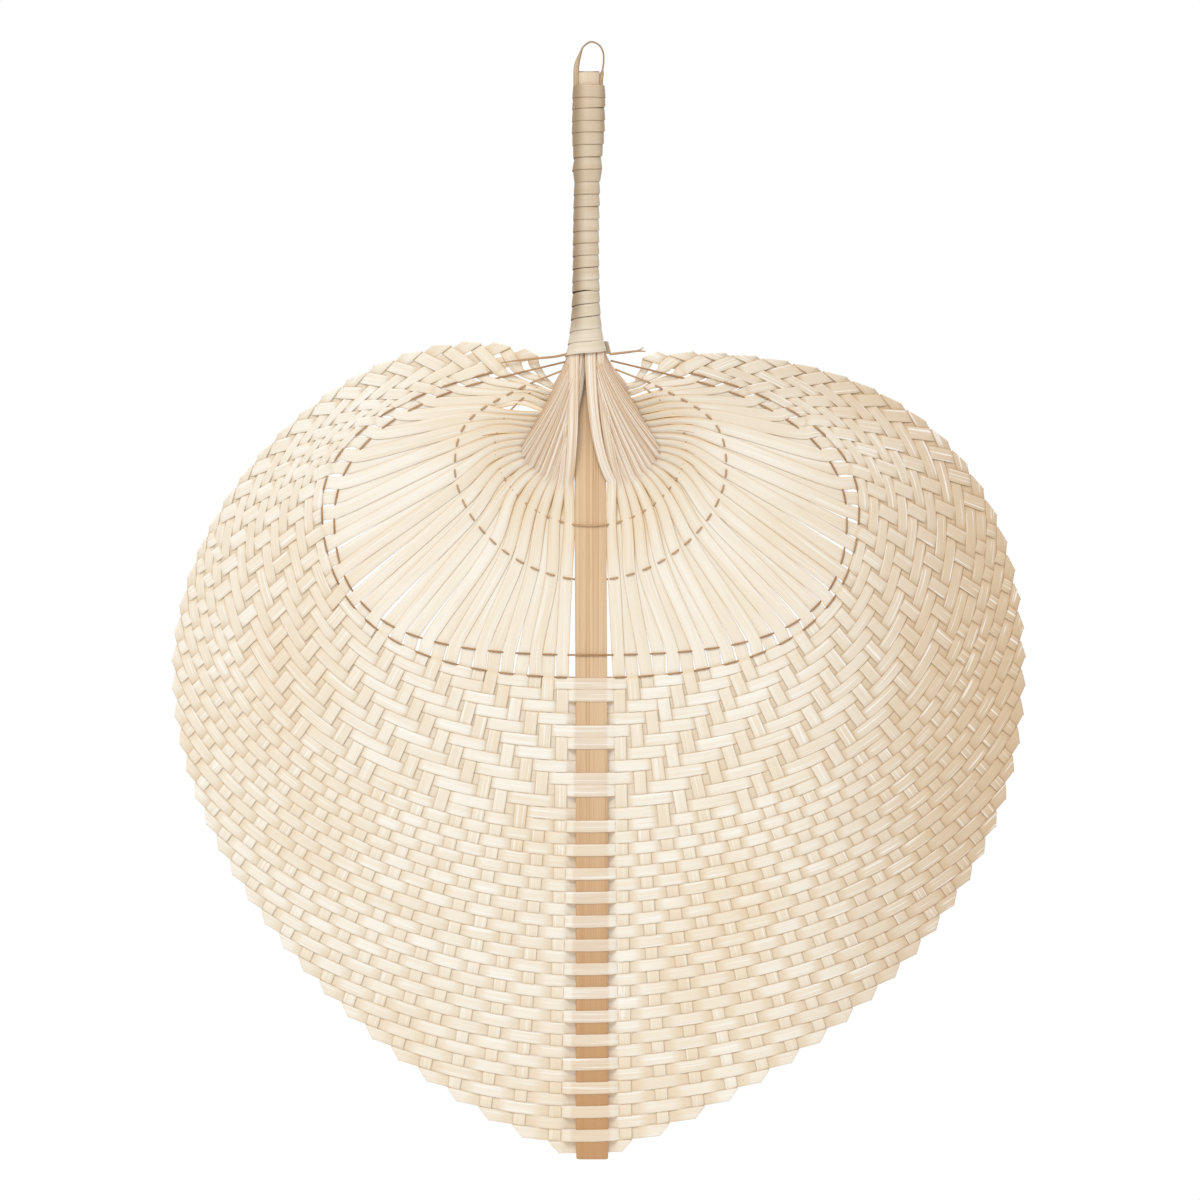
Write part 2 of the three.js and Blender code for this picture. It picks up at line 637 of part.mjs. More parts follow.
addPiece('spine', spine(), COLOUR_SPINE);
for (let number = 1; number <= STRIP_COUNT; number += 1) {
  addPiece(`strip_${String(number).padStart(2, '0')}`, strip(number), COLOUR_STRIP);
}
addPiece('lace_inner', lace(INNER_LACE, -1, 2 * innerLayered - layered), COLOUR_LACE);
addPiece('lace_middle', lace(MIDDLE_LACE, 1, layered), COLOUR_LACE);
addPiece('lace_outer', lace(OUTER_LACE, -1, layered), COLOUR_LACE);
addPiece('lace_weave_edge', lace(WEAVE_EDGE, 1, 0), COLOUR_LACE);
addPiece('lace_end_left', laceEnd(-1, LACE_END_LEFT), COLOUR_LACE);
addPiece('lace_end_right', laceEnd(1, LACE_END_RIGHT), COLOUR_LACE);
const binding = bindingRings();
console.log(`least gap between turns of the binding: ${leastTurnGap(binding).toFixed(2)} mm`);
addPiece('handle_binding', sweptSolid(binding), COLOUR_BINDING);
addPiece('hanging_loop', hangingLoop(), COLOUR_LOOP);

export default fan;
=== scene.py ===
# %% [markdown]
# A woven bamboo hand fan, hung from its loop. Forty thin strips are woven into a leaf-shaped blade over a
# flat spine. Each strip runs across the spine, is folded at the rim and comes back as a splint that leads
# to the neck, where all splints gather under a wound handle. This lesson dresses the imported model: every
# solid stays where it is for the physics, and a finer piece with the true weave is shown in its place.

import bpy
import numpy as np
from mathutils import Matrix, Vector


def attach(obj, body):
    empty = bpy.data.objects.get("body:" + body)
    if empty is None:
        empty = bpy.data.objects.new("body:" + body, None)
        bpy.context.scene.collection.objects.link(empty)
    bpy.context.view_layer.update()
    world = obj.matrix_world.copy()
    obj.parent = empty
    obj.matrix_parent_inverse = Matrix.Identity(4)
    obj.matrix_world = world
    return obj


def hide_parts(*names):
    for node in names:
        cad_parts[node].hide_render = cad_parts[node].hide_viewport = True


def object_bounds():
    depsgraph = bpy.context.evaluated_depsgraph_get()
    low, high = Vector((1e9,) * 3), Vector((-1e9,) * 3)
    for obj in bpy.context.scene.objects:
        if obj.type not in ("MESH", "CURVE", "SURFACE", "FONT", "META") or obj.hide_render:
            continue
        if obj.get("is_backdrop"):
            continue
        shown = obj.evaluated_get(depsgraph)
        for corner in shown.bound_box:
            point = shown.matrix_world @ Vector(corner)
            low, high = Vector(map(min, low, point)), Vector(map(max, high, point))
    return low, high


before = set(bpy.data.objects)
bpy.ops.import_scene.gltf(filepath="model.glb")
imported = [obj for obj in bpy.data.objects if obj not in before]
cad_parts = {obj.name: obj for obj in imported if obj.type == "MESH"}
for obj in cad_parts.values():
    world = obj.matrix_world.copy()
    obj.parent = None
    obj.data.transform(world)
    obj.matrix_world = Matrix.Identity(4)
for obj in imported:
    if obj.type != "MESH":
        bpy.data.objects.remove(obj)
cad_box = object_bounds()
MM = 0.001
print("solids in the frame:", len(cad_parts))

# %% [markdown]
# The camera comes first. The photograph looks straight at the fan's front, along +Y, with a long lens.
# One of its pixels is 0.35 mm on the fan, so its 1200 pixels span 420 mm. A long lens far away keeps the
# blade flat.

# %% Camera at the photograph's angle
PIXEL = 0.35 * MM
PHOTO_PIXELS = 1200
FRAME_WIDTH = PHOTO_PIXELS * PIXEL
SPINE_PIXEL_X = 590.5
LOOP_PIXEL_Y = 43.0
LENS = 170.0
SENSOR = 36.0

view_middle = Vector((
    (PHOTO_PIXELS / 2 - SPINE_PIXEL_X) * PIXEL,
    0.0,
    -(PHOTO_PIXELS / 2 - LOOP_PIXEL_Y) * PIXEL,
))
camera_data = bpy.data.cameras.new("camera")
camera_data.lens = LENS
camera_data.sensor_width = SENSOR
camera = bpy.data.objects.new("camera", camera_data)
camera.location = view_middle + Vector((0.0, -FRAME_WIDTH * LENS / SENSOR, 0.0))
camera.rotation_euler = (np.pi / 2, 0.0, 0.0)
bpy.context.collection.objects.link(camera)
bpy.context.scene.camera = camera
print("camera distance:", round(-camera.location.y, 3), "m")

# %% [markdown]
# The blade is drawn in millimetres with the neck at z = 0, as the maker would measure it, and moved to
# the frame's origin in the loop at the end. Everything in the blade follows a few rings: the rim, the
# edge of the weave, three lacing rings in the open window and the throat, where the splints turn up to
# the neck. Each ring is two cubic curves on each side of the spine, so it is a smooth function of the
# distance along it.

# %% Rings of the blade
STRIP_COUNT = 40
SPINE_WIDTH = 11.2
SPINE_THICKNESS = 2.0
LACE_START = 7.4
RIM_SHOULDER = np.array([18.0, -1.0])
THROAT_SHOULDER = np.array([12.4, -9.8])
SHOULDER_BEND = np.array([15.5, -8.5])
SHOULDER_LAST = (1.0, 3.0)
CURVE_STEPS = 300


def cubic(a, b, c, d):
    """A cubic curve with end points a and d and handles b and c, as an array of points."""
    t = np.linspace(0, 1, CURVE_STEPS)[:, None]
    return a * (1 - t) ** 3 + 3 * b * t * (1 - t) ** 2 + 3 * c * t ** 2 * (1 - t) + d * t ** 3


def heading(degrees):
    """The direction at an angle above the x axis: its cosine and its sine."""
    return np.array([np.cos(np.radians(degrees)), np.sin(np.radians(degrees))])


def distance_along(points):
    """The running sum of the distances between neighbouring points."""
    return np.concatenate([[0.0], np.cumsum(np.linalg.norm(np.diff(points, axis=0), axis=1))])


class Ring:
    """One ring on the right of the spine: from its drop below the neck, out to its half width, up to its
    shoulder, which is a share of the way from the throat's shoulder to the rim's, on a quadratic curve. The
    pulls set how far the handles of its two cubic curves reach."""

    def __init__(self, drop, half, widest, shoulder, end_angle, pulls, lead,
                 crowd=0.0, fade=1, bottom_angle=0.0):
        bottom = np.array([0.0, -drop])
        side = np.array([half, -widest])
        before = 1 - shoulder
        end = before ** 2 * THROAT_SHOULDER + 2 * before * shoulder * SHOULDER_BEND
        end = end + shoulder ** 2 * RIM_SHOULDER
        up = np.array([0.0, 1.0])
        lower = cubic(bottom, bottom + pulls[0] * half * heading(bottom_angle),
                      side - pulls[1] * (drop - widest) * up, side)
        upper = cubic(side, side + pulls[2] * (widest + end[1]) * up,
                      end + pulls[3] * half * heading(end_angle), end)
        self.points = np.vstack([lower, upper[1:]])
        self.run = distance_along(self.points)
        self.first = LACE_START + lead
        self.last = SHOULDER_LAST[0] + shoulder * (SHOULDER_LAST[1] - SHOULDER_LAST[0])
        self.crowd = crowd
        self.fade = fade

    def at(self, run):
        """The points at distances along the ring."""
        return np.stack([np.interp(run, self.run, self.points[:, k]) for k in (0, 1)], axis=-1)

    def place(self, number):
        """Distance along the ring of a splint: evenly spaced, with the first ones wider apart by the crowd,
        which a higher power makes fade sooner."""
        share = (np.asarray(number, float) - 1) / (STRIP_COUNT - 1)
        spread = share + self.crowd * share * (1 - share) ** self.fade
        return self.first + spread * (self.run[-1] - self.first - self.last)


BLADE_DROP = 281.5
WEAVE_DROP = 113.0
RIM_CROWD = (0.33, 3)
RIM = {
    1: Ring(BLADE_DROP, 151.3, 110.5, 1, 5.5, (0.457, 0.55, 0.955, 0.333), 5.9, *RIM_CROWD, 20),
    -1: Ring(BLADE_DROP, 145.7, 110.5, 1, 23.9, (0.438, 0.46, 0.64, 0.384), 5.9, *RIM_CROWD, 16),
}
WEAVE_EDGE = Ring(WEAVE_DROP, 94.0, 53.0, 0.84, -7, (0.585, 0.78, 0.62, 0.34), 2.4, -0.12)
OUTER_LACE = Ring(105.0, 89.7, 57.5, 0.69, -8, (0.625, 0.86, 0.65, 0.345), 2.0, -0.1)
MIDDLE_LACE = Ring(78.8, 47.5, 39.3, 0.51, -28.6, (0.585, 0.42, 0.6, 0.54), 0.8, 0.1)
INNER_LACE = Ring(59.8, 33.5, 32.0, 0.31, -34.4, (0.6, 0.43, 0.48, 0.24), 0.2, 0.4, 2)
THROAT = Ring(45.0, 23.2, 34.0, 0, -80, (0.53, 0.58, 0.12, 0.5), 0.0, 0.0)
print("rim length:", [round(float(RIM[s].run[-1])) for s in (1, -1)], "mm on the right and the left")

# %% [markdown]
# A bent strip has no corners, so paths go through their points as centripetal Catmull-Rom curves: smooth,
# and never looping between points that lie close together. A soft step is used wherever one value turns
# into another, such as a strip that dives from the front of one splint to the back of the next.

# %% Smooth curves and soft steps
BOW_STEPS = ((0.6, -60, -120), (-1.6, -45, 60), (1.1, 35, 65))


def smooth_curve(points, at):
    """Centripetal Catmull-Rom curve through the points; `at` counts spans from the first point."""
    points = np.asarray(points, float)
    padded = np.vstack([2 * points[0] - points[1], points, 2 * points[-1] - points[-2]])
    span = np.clip(np.floor(at).astype(int), 0, len(points) - 2)
    share = (at - span)[:, None]
    p0, p1, p2, p3 = (padded[span + k] for k in range(4))
    d0, d1, d2 = (np.sqrt(np.linalg.norm(b - a, axis=1, keepdims=True))
                  for a, b in ((p0, p1), (p1, p2), (p2, p3)))
    out = ((p1 - p0) / d0 - (p2 - p0) / (d0 + d1) + (p2 - p1) / d1) * d1
    into = ((p2 - p1) / d1 - (p3 - p1) / (d1 + d2) + (p3 - p2) / d2) * d1
    square = 3 * (p2 - p1) - 2 * out - into
    cube = 2 * (p1 - p2) + out + into
    return p1 + share * (out + share * (square + share * cube))


def soft_step(x):
    """x held between 0 and 1, then three times its square less twice its cube."""
    x = np.clip(x, 0, 1)
    return x * x * (3 - 2 * x)


def step_between(values, at, start, end):
    """Goes from value to value; each span stays level for its start share and again for its end share."""
    values, start, end = (np.asarray(v, float) for v in (values, start, end))
    span = np.clip(np.floor(at).astype(int), 0, len(values) - 2)
    share = (at - span - start[span]) / (1 - start[span] - end[span])
    return values[span] + (values[span + 1] - values[span]) * soft_step(share)


def level_shares(count, level, at_spine):
    """Start and end shares for `step_between`: one for all spans but the first, which is at the spine."""
    start, end = np.full((2, count), level)
    start[0], end[0] = at_spine
    return start, end


def soften(values, reach):
    """A running mean over `reach` samples on each side, with the ends held."""
    padded = np.pad(values, reach, mode="edge")
    return np.convolve(padded, np.full(2 * reach + 1, 1 / (2 * reach + 1)), mode="valid")


def unit(vectors):
    """Vectors divided by their lengths."""
    return vectors / np.linalg.norm(vectors, axis=-1, keepdims=True)


def signed_power(x, power):
    """The power of the size of x, with the sign of x."""
    return np.sign(x) * np.abs(x) ** power


def handle_bow(z):
    """How far the spine and the handle stand aside at a height: soft steps to the right in the blade, to
    the left at the neck and back at the top, each with its amount, its start and its length."""
    return sum(amount * soft_step((z - start) / length) for amount, start, length in BOW_STEPS)


print("the neck stands aside by", round(float(handle_bow(0.0)), 2), "mm")

# %% [markdown]
# At the neck, the odd splints pass in front of the core and the even ones behind it. They stand around it
# like feathers, each leaning on the next, and the first ones lie flat over the others. In the window the
# odd splints also lie in front of the even ones. They were laid by hand, so each one slips a little along
# every ring. The last ones are narrow and come down steeply from the shoulders. On the left, two bunches
# stand apart and leave a hole beside the bell.

# %% Splints from the rim to the neck
NUMBERS = np.arange(1, STRIP_COUNT + 1)
FACE = np.where(NUMBERS % 2, -1.0, 1.0)
NECK_HALF = 5.7
NECK_DEPTH = 4.1
NECK_INSERT = 4.0
NECK_SQUEEZE = 0.76
NECK_LEAN = 50.0
COLLAR_HALF = 6.9
COLLAR_DEPTH = 4.9
FRONT_STRIP_X = {1: 1.3, -1: 4.4}
SECOND_STRIP_X = {1: 4.9, -1: 5.6}
FRONT_STRIP_WIDTH = 3.9
SECOND_STRIP_SINK = 0.35
LAYER_DEPTH = 0.15
INNER_LAYERS = 1.5
THROAT_DEPTH = (1.6, 0.3)
THROAT_DEPTH_POWER = 0.6
THROAT_LEAN = (8.0, 42.0)
LEAN_BEFORE = (0.1, 0.5)
BELL_BULGE = 0.9
BELL_FLARE = 0.08
BELL_HANG = (0.3, 0.45)
BELL_HANG_REACH = 3.0
HAND_SEED = 7
HAND_SLIP = (0.0, 0.22, 0.45, 0.9, 0.6, 0.25)
SPLINT_WIDTH = 4.3
WINDOW_WIDTHS = (SPLINT_WIDTH, 4.5, 4.4, 4.0, 3.4, 2.9, 2.7)
SHOULDER_FROM = 31
SHOULDER_OVER = 5
SHOULDER_WIDTHS = (0.6, 0.5, 0.45, 0.5)
SHOULDER_PAIRS = (0.0, 0.0, 0.0, 0.2, 0.4, 0.5)
SHOULDER_LIFT = (0.5, 0.5, 0.4, 0.2, 0.0, 0.0)
SHOULDER_LIFT_FROM = 35
PART_AT = 31.5
PART_REACH = 3.5
PARTED = (0.0, 0.0, 0.0, 0.6, 2.6, 0.9)
share_out = (NUMBERS - 1) / (STRIP_COUNT - 1)
neck_turn = np.radians(90) * (np.floor((NUMBERS - 1) / 2) + 0.5) / (STRIP_COUNT / 2)


def neck_middles(side):
    """Where the splints of one side stand in the neck: x, depth and how they lean, by number. The first four
    lie flat on the curve where the cubes of x and depth, as shares of the collar, add up to one."""
    x = side * NECK_HALF * np.sin(neck_turn)
    depth = NECK_DEPTH * np.cos(neck_turn)
    lean = np.radians(NECK_LEAN) - neck_turn
    x[:2] = side * FRONT_STRIP_X[side]
    x[2:4] = side * SECOND_STRIP_X[side]
    out = np.abs(x[:4]) / COLLAR_HALF
    depth[:4] = COLLAR_DEPTH * np.cbrt(1 - out ** 3)
    depth[2:4] -= SECOND_STRIP_SINK
    lean[:4] = -np.arctan(COLLAR_DEPTH / COLLAR_HALF * out ** 2 / np.cbrt(1 - out ** 3) ** 2)
    return x, FACE * depth, lean


def stand_table(side):
    """The stands of all splints of one side: plan points, depths and leans, stand by stand. Each splint has
    its place along every ring and slips from it at random. At the shoulder the odd ones move up to the even
    ones. On the left, the ones around one place are moved away from it by a bell curve."""
    rings = (RIM[side], WEAVE_EDGE, OUTER_LACE, MIDDLE_LACE, INNER_LACE, THROAT)
    slips = np.random.default_rng(HAND_SEED + side).uniform(-1, 1, (len(rings), STRIP_COUNT))
    in_pair = (NUMBERS % 2 == 1) * soft_step((NUMBERS - SHOULDER_FROM) / SHOULDER_OVER)
    from_part = NUMBERS - PART_AT
    apart = (side < 0) * np.sign(from_part) * np.exp(-(from_part / PART_REACH) ** 2)
    plan = [ring.at(ring.place(NUMBERS + pairing * in_pair) + slip * most + apart * parted) * [side, 1]
            for ring, pairing, slip, most, parted
            in zip(rings, SHOULDER_PAIRS, slips, HAND_SLIP, PARTED)]
    raised = soft_step((NUMBERS - SHOULDER_LIFT_FROM) / (STRIP_COUNT - SHOULDER_LIFT_FROM))
    plan = [points + np.outer(raised, [0.0, lift]) for points, lift in zip(plan, SHOULDER_LIFT)]
    x, neck_depth, neck_lean = neck_middles(side)
    plan += [np.stack([handle_bow(z) + squeeze * x, np.full_like(x, z)], axis=-1)
             for z, squeeze in ((0.0, 1.0), (NECK_INSERT, NECK_SQUEEZE))]
    sunk = share_out ** THROAT_DEPTH_POWER
    throat_depth = FACE * (THROAT_DEPTH[0] + sunk * (THROAT_DEPTH[1] - THROAT_DEPTH[0]))
    layer = FACE * LAYER_DEPTH
    depth = [0 * layer, layer, layer, layer, INNER_LAYERS * layer, throat_depth, neck_depth,
             NECK_SQUEEZE * neck_depth]
    throat_lean = np.radians(THROAT_LEAN[0] + share_out * (THROAT_LEAN[1] - THROAT_LEAN[0]))
    flat = np.zeros(STRIP_COUNT)
    before = [share * throat_lean for share in LEAN_BEFORE]
    lean = [flat, flat, flat, *before, throat_lean, neck_lean, neck_lean]
    return np.stack(plan, 1), np.stack(depth, 1), np.stack(lean, 1)


STANDS = {side: stand_table(side) for side in (1, -1)}
print("splints:", 2 * STRIP_COUNT, "on", STANDS[1][0].shape[1], "stands each")

# %% [markdown]
# The weave is a net of crossings. Splint j starts at the rim where strip j is folded, and the wefts of
# all later strips cross it at even distances on its way to the edge of the weave. So one table of points
# holds every crossing: row m is a weft, column j a splint, column 0 the spine. The spacing of neighbours
# in the table tells how wide a strip may be at each crossing.

# %% The net of crossings
SPINE_PITCH = (BLADE_DROP - WEAVE_DROP) / (STRIP_COUNT + 0.5)
WEFT_WIDTH = 4.05
SPINE_WEFT_WIDTH = 4.35
LEAST_WIDTH = 1.2


def woven_shares(side, number, count=60):
    """Curve places against the share of a splint's woven length, from the rim to the edge of the weave."""
    at = np.linspace(0, 1, count)
    plan = smooth_curve(STANDS[side][0][number - 1], at)
    run = distance_along(plan)
    return run / run[-1], at


def crossing_table(side):
    """Crossing points by weft and splint, with nothing where a weft doesn't reach a splint. The row after
    the last weft is the edge of the weave, half a pitch on."""
    table = np.full((STRIP_COUNT + 2, STRIP_COUNT + 1, 2), np.nan)
    wefts = np.arange(STRIP_COUNT + 2)
    table[:, 0] = np.stack([0 * wefts, -BLADE_DROP + wefts * SPINE_PITCH], axis=-1)
    for number in NUMBERS:
        later = wefts[wefts >= number]
        shares, at = woven_shares(side, number)
        goal = (later - number) / (STRIP_COUNT + 0.5 - number)
        table[later, number] = smooth_curve(STANDS[side][0][number - 1], np.interp(goal, shares, at))
    return table


def spacing(steps, along):
    """How far steps go sideways, seen along another direction."""
    along = unit(along)
    return np.abs(steps[..., 0] * along[..., 1] - steps[..., 1] * along[..., 0])


CROSSINGS = {side: crossing_table(side) for side in (1, -1)}
WEFT_WIDTHS = {}
SPLINT_WIDTHS = {}
for side, table in CROSSINGS.items():
    to_next_weft = table[1:] - table[:-1]
    to_next_weft[-1] *= 2
    from_last_splint = np.diff(table, axis=1)[:-1]
    weft_pitch = spacing(to_next_weft[:, 1:], from_last_splint)
    splint_pitch = spacing(from_last_splint, to_next_weft[:, 1:])
    WEFT_WIDTHS[side] = np.clip(weft_pitch, LEAST_WIDTH, WEFT_WIDTH)
    SPLINT_WIDTHS[side] = np.clip(splint_pitch, LEAST_WIDTH, SPLINT_WIDTH)
print("crossings on the right:", int(np.isfinite(CROSSINGS[1][1:-1, 1:, 0]).sum()))

# %% [markdown]
# Which strip is on top at a crossing makes the pattern. Most of the blade is plain weave: over one, under
# one. The last twelve wefts next to the window go over two and under two, each pair one step further,
# which draws the slanting lines of a twill. Front is -Y, so a weft on top has the sign -1.

# %% Over and under
TWILL_FROM = 29


def weft_sign(weft, splint):
    """-1 where the weft passes in front of the splint, +1 where it passes behind."""
    plain = (weft + splint) % 2 == 0
    twill = np.isin((weft - splint) % 4, (3, 0))
    return np.where(np.where(weft >= TWILL_FROM, twill, plain), -1.0, 1.0)


print("wefts in front of the spine:", int((weft_sign(NUMBERS, 0) < 0).sum()))

# %% [markdown]
# A strip is a flat ribbon, so a station on it is a middle point, a span across it, a normal and a width.
# Each half strip is worked out from the spine outwards: the weft, the fold and the splint. At the fold
# the strip is turned over along a crease that halves the angle between its two directions. Near the
# crease the stations are slanted until they lie along it, which moves no point out of the flat ribbon.

# %% Half a strip
STRIP_THICKNESS = 0.18
WEAVE_DEPTH = 0.32
SPINE_GAP = 0.06
SPINE_LAYER = SPINE_THICKNESS / 2 + STRIP_THICKNESS / 2 + SPINE_GAP
STEPS = 8
LEVEL = 0.12
SPINE_LEVEL = (0.58, 0.12)
FOLD_STEPS = 7
SLANT_REACH = (0.65, 0.4)
WINDOW_WIDEN = 0.8
SIDEWAYS_POWER = 4
DEPTH_SOFTEN = 1
LEAN_SOFTEN = 2
WINDOW_STEPS = (6, 12, 10, 12, 24, 4)
WINDOW_AT = np.concatenate([
    stand + np.linspace(0, 1, steps + 1)[1:] for stand, steps in enumerate(WINDOW_STEPS, 1)])
DEPTH_AXIS = np.array([0.0, 1.0, 0.0])
THROAT_STAND = 5


def window_plan(stands, number):
    """A splint's way from the weave to the neck: a smooth curve that comes to the throat sideways, and above
    it a quadratic curve that leaves the collar downwards and flares out to the throat, like a bell. The
    first splints hang straight for longer."""
    lace, throat, neck, insert = stands[THROAT_STAND - 1:]
    way = throat - lace
    reach = np.linalg.norm(way)
    steep = (way[1] / reach) ** SIDEWAYS_POWER
    bent = stands.copy()
    bent[THROAT_STAND + 1] = throat + steep * way + (1 - steep) * reach * np.array([np.sign(way[0]), 0.0])
    window = smooth_curve(bent, np.minimum(WINDOW_AT, THROAT_STAND))
    share = BELL_HANG[0] + BELL_HANG[1] * np.exp(-((number - 1) / BELL_HANG_REACH) ** 2)
    hang = np.array([neck[0] + BELL_FLARE * (throat[0] - neck[0]), share * throat[1]])
    rise = np.clip(WINDOW_AT - THROAT_STAND, 0, 1)[:, None]
    bell = (1 - rise) ** 2 * throat + 2 * rise * (1 - rise) * hang + rise ** 2 * neck
    inside = np.clip(WINDOW_AT - THROAT_STAND - 1, 0, 1)[:, None] * (insert - neck)
    return np.where((WINDOW_AT > THROAT_STAND)[:, None], bell + inside, window)


def in_space(plan, depth):
    """Points of the plan, at their depths along Y."""
    return np.stack([plan[:, 0], depth, plan[:, 1]], axis=-1)


def weft_stations(number, side):
    """The weft of one strip from the spine to its fold: middles and widths."""
    own = CROSSINGS[side][number, 1:number + 1]
    other = CROSSINGS[-side][number, 1:number + 1][::-1]
    points = np.vstack([other, CROSSINGS[side][number, :1], own])
    at = np.linspace(0, number, number * STEPS + 1)
    plan = smooth_curve(points, number + at)
    depths = weft_sign(number, np.arange(number + 1)) * WEAVE_DEPTH
    depths[0] *= SPINE_LAYER / WEAVE_DEPTH
    depth = step_between(depths, at, *level_shares(number + 1, LEVEL, SPINE_LEVEL))
    widths = np.concatenate([[SPINE_WEFT_WIDTH], WEFT_WIDTHS[side][number, :number]])
    return in_space(plan, depth), np.interp(at, np.arange(number + 1), widths)


def splint_stations(number, side):
    """The splint of one strip from its fold to the neck: middles, widths and leans. The half pitch between
    the last crossing and the edge of the weave is one whole step of depth."""
    plan_stands, depth_stands, lean_stands = (table[number - 1] for table in STANDS[side])
    crossings = STRIP_COUNT - number
    woven = np.linspace(0, crossings, crossings * STEPS + 1)
    woven = np.concatenate([woven, [crossings + 0.25, crossings + 0.5]])
    shares, places = woven_shares(side, number)
    woven_at = np.interp(woven / (crossings + 0.5), shares, places)
    depths = np.concatenate([
        [WEAVE_DEPTH], -weft_sign(np.arange(number + 1, STRIP_COUNT + 1), number) * WEAVE_DEPTH,
        depth_stands[1:2]])
    level = np.full(len(depths), LEVEL)
    depth_at = np.minimum(woven, crossings) + 2 * np.maximum(woven - crossings, 0)
    woven_depth = step_between(depths, depth_at, level, level)
    widths = SPLINT_WIDTHS[side][number:STRIP_COUNT + 1, number - 1]
    woven_width = np.interp(woven, np.arange(crossings + 1), widths)

    window_widths = np.array(WINDOW_WIDTHS)
    window_widths[:2] = np.minimum(window_widths[:2], woven_width[-1] + np.array([0.0, WINDOW_WIDEN]))
    narrow = soft_step((number - SHOULDER_FROM) / SHOULDER_OVER)
    window_widths[1:THROAT_STAND] *= 1 - narrow * (1 - np.array(SHOULDER_WIDTHS))
    if number <= 2:
        window_widths[THROAT_STAND:] = FRONT_STRIP_WIDTH
    stand = np.arange(1, len(WINDOW_WIDTHS) + 1)
    belly = np.sin(np.pi * np.clip(WINDOW_AT - THROAT_STAND, 0, 1))
    window_depth = np.interp(WINDOW_AT, stand, depth_stands[1:]) + FACE[number - 1] * BELL_BULGE * belly
    window_depth = soften(window_depth, DEPTH_SOFTEN)
    window_lean = soften(np.interp(WINDOW_AT, stand, lean_stands[1:]), LEAN_SOFTEN)
    plan = np.vstack([smooth_curve(plan_stands, woven_at), window_plan(plan_stands, number)])
    middles = in_space(plan, np.concatenate([woven_depth, window_depth]))
    width = np.concatenate([woven_width, np.interp(WINDOW_AT, stand, window_widths)])
    lean = np.concatenate([0 * woven, window_lean])
    return middles, width, lean


def across_of(ahead, side, lean, face):
    """The way across a ribbon: square to its heading in the plan, then leant over about the heading."""
    flat = unit(np.stack([ahead[:, 2], 0 * ahead[:, 0], -ahead[:, 0]], axis=-1)) * side
    across = flat * np.cos(lean)[:, None] + face * np.sin(lean)[:, None] * DEPTH_AXIS
    return unit(across - ahead * np.sum(across * ahead, axis=1, keepdims=True))


def slanted(middles, ahead, across, width, crease, from_end):
    """Spans across a ribbon that turn towards the crease near one of its ends."""
    at = -1 if from_end else 0
    slope = np.dot(crease, ahead[at]) / np.dot(crease, across[at])
    distance = np.linalg.norm(middles - middles[at], axis=1)
    reach = SLANT_REACH[0] * abs(slope) * width[at] + SLANT_REACH[1]
    amount = slope * np.clip(1 - distance / reach, 0, 1)
    return across + amount[:, None] * ahead


def half_strip(number, side):
    """Stations of half a strip from the spine to the neck: middles, spans, normals and widths."""
    face = FACE[number - 1]
    weft, weft_width = weft_stations(number, side)
    splint, splint_width, lean = splint_stations(number, side)
    splint_width[0] = weft_width[-1]
    splint_width[:STEPS] = np.linspace(splint_width[0], splint_width[STEPS], STEPS)
    weft_ahead = unit(np.gradient(weft, axis=0))
    splint_ahead = unit(np.gradient(splint, axis=0))
    weft_across = -across_of(weft_ahead, side, np.zeros(len(weft)), face)
    splint_across = across_of(splint_ahead, side, lean, face)

    flat = np.array([1.0, 0.0, 1.0])
    out, back = unit(weft_ahead[-1] * flat), unit(splint_ahead[0] * flat)
    crease, outward = unit(out + back), unit(out - back)
    turn = np.linspace(0, np.pi, FOLD_STEPS + 2)[1:-1, None]
    fold_normal = np.sin(turn) * outward - np.cos(turn) * DEPTH_AXIS
    fold = weft[-1] * flat + WEAVE_DEPTH * fold_normal
    fold_span = np.repeat([crease / np.dot(crease, weft_across[-1])], FOLD_STEPS, axis=0)

    weft_span = slanted(weft, weft_ahead, weft_across, weft_width, crease, True)
    splint_span = slanted(splint, splint_ahead, splint_across, splint_width, crease, False)
    return (
        np.vstack([weft, fold, splint]),
        np.vstack([weft_span, fold_span, splint_span]),
        np.vstack([side * np.cross(weft_ahead, weft_across), fold_normal,
                   side * np.cross(splint_ahead, splint_across)]),
        np.concatenate([weft_width, np.full(FOLD_STEPS, weft_width[-1]), splint_width]),
    )


def joined(left, right):
    """Two halves that both start at the spine, in one row from the left end to the right end."""
    return np.concatenate([left[:0:-1], right])


print("stations on half of strip 20:", len(half_strip(20, 1)[0]))

# %% [markdown]
# A mesh is a grid of rings. A profile of a few points, rounded at the edges, is carried from station to
# station, neighbouring rings are joined with quads and the ends are closed. The UV map keeps the distance
# along the strip and the place across it, so the grain of the bamboo can follow every bend.

# %% From stations to a mesh
NECK_BELOW_LOOP = 109.2
BODY = "root"
RIBBON = np.array([
    [-1, 0], [-0.93, 0.8], [-0.5, 1.0], [0, 1.05], [0.5, 1.0], [0.93, 0.8],
    [1, 0], [0.93, -0.8], [0.5, -1.0], [0, -0.95], [-0.5, -1.0], [-0.93, -0.8],
])


def ribbon_grid(middles, spans, normals, width, thickness, profile=RIBBON):
    """Each station's profile: out along the span by half the width, up along the normal by half the
    thickness."""
    across = profile[None, :, :1] * (width / 2)[:, None, None] * spans[:, None]
    raised = profile[None, :, 1:] * (thickness / 2) * normals[:, None]
    return middles[:, None] + across + raised


def signed_volume(points, quads):
    """Six times the volume inside quads: triple products of their triangles. Below 0, they face inwards."""
    a, b, c, d = (points[quads[:, k]] for k in range(4))
    return np.sum(a * np.cross(b, c)) + np.sum(a * np.cross(c, d))


